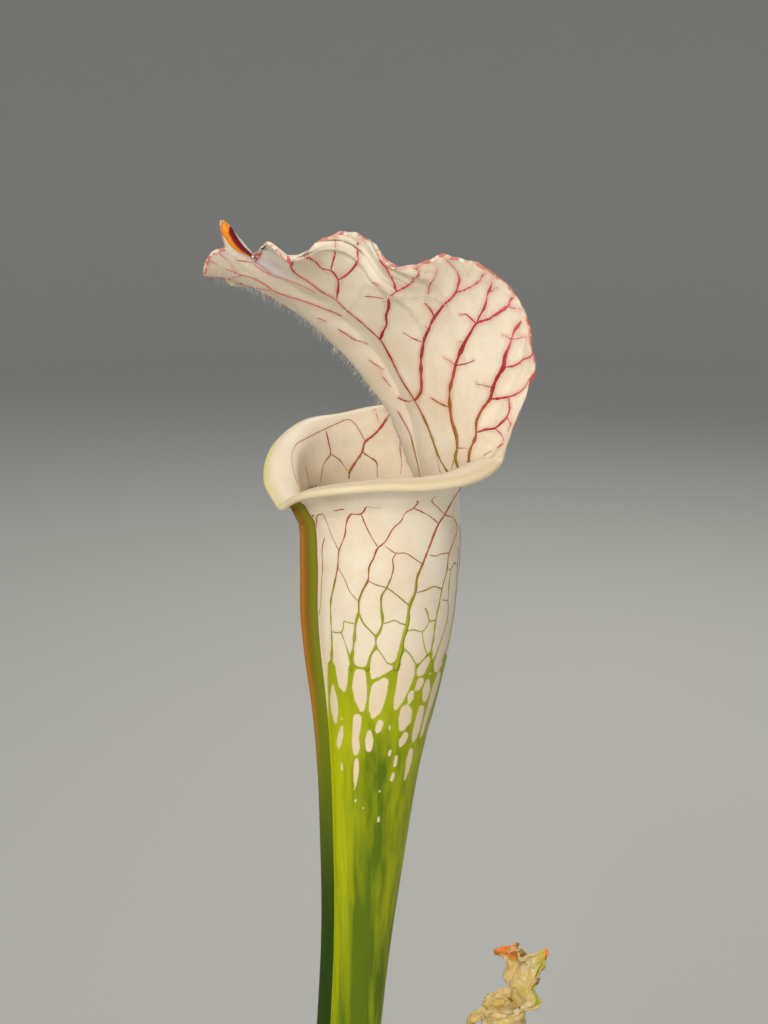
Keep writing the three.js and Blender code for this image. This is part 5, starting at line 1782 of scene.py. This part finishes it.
@dataclass(frozen=True)
class PotShape:
    """The pot: a plain round nursery pot with a proud rim band and drain holes in its floor."""

    height: float = 110.0
    top_radius: float = 65.0
    base_radius: float = 46.0
    wall: float = 1.8
    floor: float = 2.4
    rim_height: float = 13.0
    proud: float = 2.2
    bead: float = 1.4
    holes: int = 6
    hole_radius: float = 4.5
    hole_circle: float = 29.0
    sides: int = 180

    def outer(self, height: float) -> float:
        """Returns the outer radius below the rim band at a height."""
        return lerp(self.base_radius, self.top_radius - self.proud, height / self.height)

    def inner(self, height: float) -> float:
        """Returns the inner radius at a height."""
        return self.outer(height) - self.wall

    def profile(self) -> Array:
        """Returns the section as radius and height, with each corner rounded by an arc-like curve."""
        band, top = self.height - self.rim_height, self.height
        wide = self.top_radius
        section = np.array([
            (1.0, 0.0), (self.base_radius - 1.6, 0), (self.base_radius, 1.6), (self.outer(band), band),
            (wide - 0.4, band + 1.2), (wide, top - 2 * self.bead), (wide - 0.4, top - 0.5),
            (wide - self.bead, top), (self.inner(top) + 0.6, top), (self.inner(top), top - 1),
            (self.inner(self.floor), self.floor), (1.0, self.floor),
        ])
        rounded = [section[:1]]
        for before, corner, after in zip(section[:-2], section[1:-1], section[2:]):
            reach = min(np.linalg.norm(corner - before) * 0.45, np.linalg.norm(after - corner) * 0.45, 0.7)
            start, end = corner + unit(before - corner) * reach, corner + unit(after - corner) * reach
            t = np.linspace(0, 1, 5)[:, None]
            rounded.append((1 - t) ** 2 * start + 2 * t * (1 - t) * corner + t * t * end)
        rounded.append(section[-1:])
        return np.concatenate(rounded)

    def make(self) -> Piece:
        """Builds the turned body and cuts the drain holes through its floor."""
        shell = Shell()
        shell.rings(turned(self.profile(), self.sides))
        body = shell.build("pot_body", PotFinish().make(), ("pot",))
        pegs = Shell()
        for k in range(self.holes):
            way = 2 * math.pi * (k + 0.5) / self.holes
            peg = turned([(self.hole_radius, -1.0), (self.hole_radius, self.floor + 1)], 32)
            pegs.rings(peg + self.hole_circle * np.array([math.cos(way), math.sin(way), 0]))
        cutter = stand("pegs", pegs.mesh("pegs", soft=False))
        change = body.modifiers.new("drain", "BOOLEAN")
        change.object = cutter
        change.solver = "EXACT"
        cut = bpy.data.meshes.new_from_object(body.evaluated_get(bpy.context.evaluated_depsgraph_get()))
        body.modifiers.clear()
        body.data = cut
        bpy.data.objects.remove(cutter)
        return body


@dataclass(frozen=True)
class SoilBed:
    """The soil: a plug with a domed lumpy top, with crumbs, grit and moss on it."""

    pot: PotShape
    level: float = 96.0
    crown: float = 2.2
    bump: float = 1.1
    clearance: float = 0.3
    rhizome_x: float = 2.5
    crumbs: int = 1500
    grit: int = 90
    cushions: int = 26
    strands: int = 130

    @property
    def edge(self) -> float:
        """Returns the bed's radius at its top."""
        return self.pot.inner(self.level) - self.clearance - 0.25

    def top(self, x: Array, y: Array) -> Array:
        """Returns the bed's height: a low dome with lumps that fade at the wall."""
        out = np.hypot(x, y) / self.edge
        lumps = np.sin(0.31 * x + 1) * np.cos(0.27 * y) + 0.6 * np.sin(0.62 * y + 0.4 * x)
        return self.level - 1 + self.crown * (1 - out * out) + self.bump * lumps * smooth((1 - out) * 6)

    def off_rhizome(self, x: Array, y: Array, long: float, wide: float) -> Array:
        """Returns which places lie outside an oval about the rhizome, by the oval's half sizes."""
        return ((x - self.rhizome_x) / long) ** 2 + (y / wide) ** 2 > 1

    def spots(self, count: int, draw: np.random.Generator, inside: float = 0.97) -> Array:
        """Returns random places on the bed, clear of the rhizome."""
        radius = self.edge * inside * np.sqrt(draw.uniform(size=3 * count))
        turn = draw.uniform(0, 2 * math.pi, 3 * count)
        x, y = radius * np.cos(turn), radius * np.sin(turn)
        clear = self.off_rhizome(x, y, 17.0, 12.5)
        spot = np.stack([x, y, self.top(x, y)], -1)[clear]
        return spot[:count]

    def make(self) -> None:
        """Builds the bed, its crumbs and its moss."""
        finish = SoilFinish().make()
        base = self.pot.floor + self.clearance
        share = np.linspace(1, 0.012, 90)
        low = self.pot.inner(base) - self.clearance - 0.25
        radius = np.concatenate([[low - 1, low], self.edge * share])
        body = turned(np.column_stack([radius, np.where(radius == low, base + 1, base)]), 170)
        body[2:, :, 2] = self.top(body[2:, :, 0], body[2:, :, 1])
        grain = ripple(body, (1.4, 2.6, 5.0), 8)
        body[2:, :, 2] += (0.45 * grain)[2:] * smooth((1 - share) * 20)[:, None]
        shell = Shell()
        shell.rings(body)
        shell.build("soil_bed", finish, ("soil",))
        draw = np.random.default_rng(4)
        loose = Shell()
        size = 0.5 + 1.1 * draw.uniform(size=self.crumbs) ** 2.4
        spot = self.spots(self.crumbs, draw)
        size = size[:len(spot)]
        spot[:, 2] += size * 0.25
        half = len(spot) // 3
        scatter(loose, spot[:half], size[:half], draw, bark=1.0)
        scatter(loose, spot[half:], size[half:], draw, bark=0.15)
        spot = self.spots(self.grit, draw, 0.95)
        size = draw.uniform(0.7, 1.7, len(spot))
        spot[:, 2] += size * 0.35
        scatter(loose, spot, size, draw, grit=1.0)
        loose.build("soil_crumbs", finish, ())
        self.moss(draw, finish)

    def moss(self, draw: np.random.Generator, finish: Skin) -> None:
        """Builds cushions of short upright moss strands, low at their edges."""
        shell = Shell()
        for heart in self.spots(self.cushions, draw, 0.9):
            spread = draw.uniform(2.5, 6.5)
            place = draw.normal(size=(self.strands, 2)) * spread / 2
            out = np.hypot(*place.T) / spread
            x, y = heart[0] + place[:, 0], heart[1] + place[:, 1]
            fits = (np.hypot(x, y) < self.edge * 0.96) & self.off_rhizome(x, y, 16.5, 12.0)
            root = np.stack([x, y, self.top(x, y) - 0.3], -1)[fits]
            way = unit(np.concatenate([place[fits] * 0.12, np.ones((fits.sum(), 1))], -1)
                       + 0.3 * draw.normal(size=(fits.sum(), 3)))
            length = draw.uniform(1.6, 2.8, fits.sum()) * np.clip(1.25 - out[fits], 0.4, 1)
            spikes(shell, root, way, length, 0.22, 0.1, moss=1.0)
        shell.build("soil_moss", finish, ())


def spikes(shell: Shell, root: Array, way: Array, length: Array, half: float, sag: float,
           **values: Any) -> None:
    """Adds closed three-sided spikes with one bend, and their share of the way to the tip as a value.

    Args:
        shell: receives them.
        root: their feet, one a row.
        way: unit directions.
        length: one a spike.
        half: radius at the foot, in millimetres.
        sag: how far the tip drops, as a share of the length.
        **values: numbers for all their points.
    """
    count = len(root)
    bend = root + way * (0.55 * length)[:, None]
    tip = root + way * length[:, None] - np.array([0, 0, sag]) * length[:, None]
    aside = unit(np.cross(way, way[:, [1, 2, 0]] + 0.3))
    other = np.cross(way, aside)
    turn = np.radians([0, 120, 240])
    offset = aside[:, None] * np.cos(turn)[None, :, None] + other[:, None] * np.sin(turn)[None, :, None]
    ring = offset * half
    points = np.concatenate([root[:, None] + ring, bend[:, None] + ring * 0.7, tip[:, None]], 1)
    first = (np.arange(count) * 7)[:, None, None]
    quads = first + np.array([[0, 1, 4, 3], [1, 2, 5, 4], [2, 0, 3, 5]])
    tris = first + np.array([[0, 2, 1], [3, 4, 6], [4, 5, 6], [5, 3, 6]])
    share = np.tile([0, 0, 0, 0.6, 0.6, 0.6, 1.0], count)
    shell.add(points, [quads.reshape(-1, 4), tris.reshape(-1, 3)], length=share, moss_tip=share, **values)


@dataclass(frozen=True)
class Rhizome:
    """The rhizome: a lumpy lying body, half sunk, with papery sheaths round the feet of the leaves."""

    half_size: Triple = (17.5, 12.5, 8.5)
    centre: Triple = (2.5, 0.0, 94.5)
    turn: float = 0.25
    sheath_foot: float = 97.0

    def make(self, feet: Sequence[Triple]) -> Piece:
        """Builds the body and its sheaths.

        Args:
            feet: x, y and radius of each leaf's foot.
        """
        polar = np.linspace(math.pi, 0, 72)[1:-1, None]
        way = np.linspace(0, 2 * math.pi, 110, endpoint=False)[None, :]
        lump = 1 + 0.07 * np.sin(3 * way + 4 * polar) * np.sin(polar) ** 2
        x = np.sin(polar) * lump * np.cos(way) * self.half_size[0]
        y = np.sin(polar) * lump * np.sin(way) * self.half_size[1]
        z = np.cos(polar) * self.half_size[2] + 0 * way
        body = np.stack([x, y, z], -1)
        scale = 1 + 0.028 * ripple(body, (1.6, 3.0, 7.0), 6) + 0.02 * np.sin(x * 2.4)
        s, c = math.sin(self.turn), math.cos(self.turn)
        x, y, z = np.moveaxis(body * scale[..., None], -1, 0)
        shell = Shell()
        shell.rings(np.stack([c * x - s * y, s * x + c * y, z], -1) + np.array(self.centre))
        for k, (*foot, radius) in enumerate(feet):
            for n in range(2):
                heading, height = 2.4 * k + 2.9 * n, 13.0 - 3.0 * n + k % 3
                self.sheath(shell, foot, radius + 0.35 + 0.3 * n, heading, height)
        return shell.build("rhizome_skin", RhizomeFinish().make(), ("rhizome",))

    def sheath(self, shell: Shell, foot: Sequence[float], radius: float, heading: float,
               height: float) -> None:
        """Adds one papery scale: a thin wrap of a stem's foot that ends in a free point."""
        u = np.linspace(-1, 1, 15)
        f = np.linspace(0, 1, 20)[:, None]
        width = lerp(1.5, 0.06, f ** 1.4)
        reach = radius + 0.3 + 1.9 * f ** 2.2 + 0.15 * np.sin(5 * u + 7 * f)
        angle = heading + width * u
        thick = 0.22 * (1 - 0.6 * f)

        def face(grow: Array) -> Array:
            """Returns one face of the scale, that far out from its middle."""
            r = reach + grow
            z = self.sheath_foot + height * f + 0 * u
            return np.stack([foot[0] + r * np.cos(angle), foot[1] + r * np.sin(angle), z], -1)

        rings = np.concatenate([face(thick), face(-thick)[:, ::-1]], 1)
        shell.rings(rings, sheath=1.0)


# The studio

@dataclass(frozen=True)
class Studio:
    """A plain pale floor that curves up far away, soft lamps, and an even pale surround."""

    floor: Colour = paint(176, 177, 174)
    surround: float = 0.38
    floor_radius: float = 2600.0
    sweep_height: float = 1500.0
    aim: Triple = (0.01, 0.0, 0.40)
    lamps: tuple[tuple, ...] = (
        ("key", (-0.6, -1.3, 1.2), 0.6, 19.5, (1.0, 0.95, 0.87)),
        ("fill", (0.5, -1.4, 0.3), 1.0, 8.0, (1.0, 0.97, 0.94)),
        ("back", (0.3, 1.2, 1.3), 0.9, 12.0, (1.0, 0.96, 0.9)),
    )

    def lamp(self, name: str, place: tuple, size: float, power: float, tint: tuple) -> None:
        """Adds a square soft lamp at a place in metres, turned to the plant's mouth."""
        light = bpy.data.lights.new(name, "AREA")
        light.size = size
        light.energy = power
        light.color = tint
        made = stand(name, light)
        made.location = place
        made.rotation_euler = (Vector(self.aim) - Vector(place)).to_track_quat("-Z", "Y").to_euler()

    def make(self) -> None:
        """Builds the floor, the lamps and the surround."""
        share = np.linspace(0, 1, 40)[1:]
        arc = np.radians(90 * np.clip((share - 0.5) * 2, 0, 1))
        radius = self.floor_radius * np.minimum(share * 2, 1) + self.sweep_height * np.sin(arc)
        height = self.sweep_height * (1 - np.cos(arc))
        shell = Shell()
        shell.rings(turned(np.column_stack([radius, height]), 96), caps=(True, False))
        mesh = shell.mesh("floor")
        mesh.materials.append(Dress("floor_paper").finish(self.floor, 0.9))
        made = stand("floor", mesh)
        for name, place, size, power, tint in self.lamps:
            self.lamp(name, place, size, power, tint)
        world = bpy.data.worlds.new("surround")
        world.use_nodes = True
        background = world.node_tree.nodes["Background"]
        background.inputs["Color"].default_value = (1.0, 1.0, 1.0, 1.0)
        background.inputs["Strength"].default_value = self.surround
        bpy.context.scene.world = world
        bpy.context.scene.view_settings.view_transform = "Standard"


def main() -> None:
    """Loads the frame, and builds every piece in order."""
    logging.basicConfig(level=logging.INFO, format="%(name)s: %(message)s")
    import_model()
    eye = PhotoEye()
    eye.make()
    Studio().make()
    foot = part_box("tall_pitcher_tube")[0].z / MILLIMETRE
    form = PitcherForm()
    net = VeinNet(form, eye)
    net.grow()
    tall = TallPitcher(form, eye, foot)
    tall.body(net)
    tall.veins(net)
    tall.fringe()
    ShortPitcher().make()
    blade = FlatLeafFinish().make()
    for leaf in FLAT_LEAVES:
        leaf.make(blade)
    pot = PotShape()
    pot.make()
    SoilBed(pot).make()
    feet = [(leaf.foot[0], leaf.foot[1], leaf.width * 0.15 + 1.0) for leaf in FLAT_LEAVES]
    Rhizome().make([*PITCHER_FEET, *feet])
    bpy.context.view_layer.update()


if __name__ == "__main__":
    main()
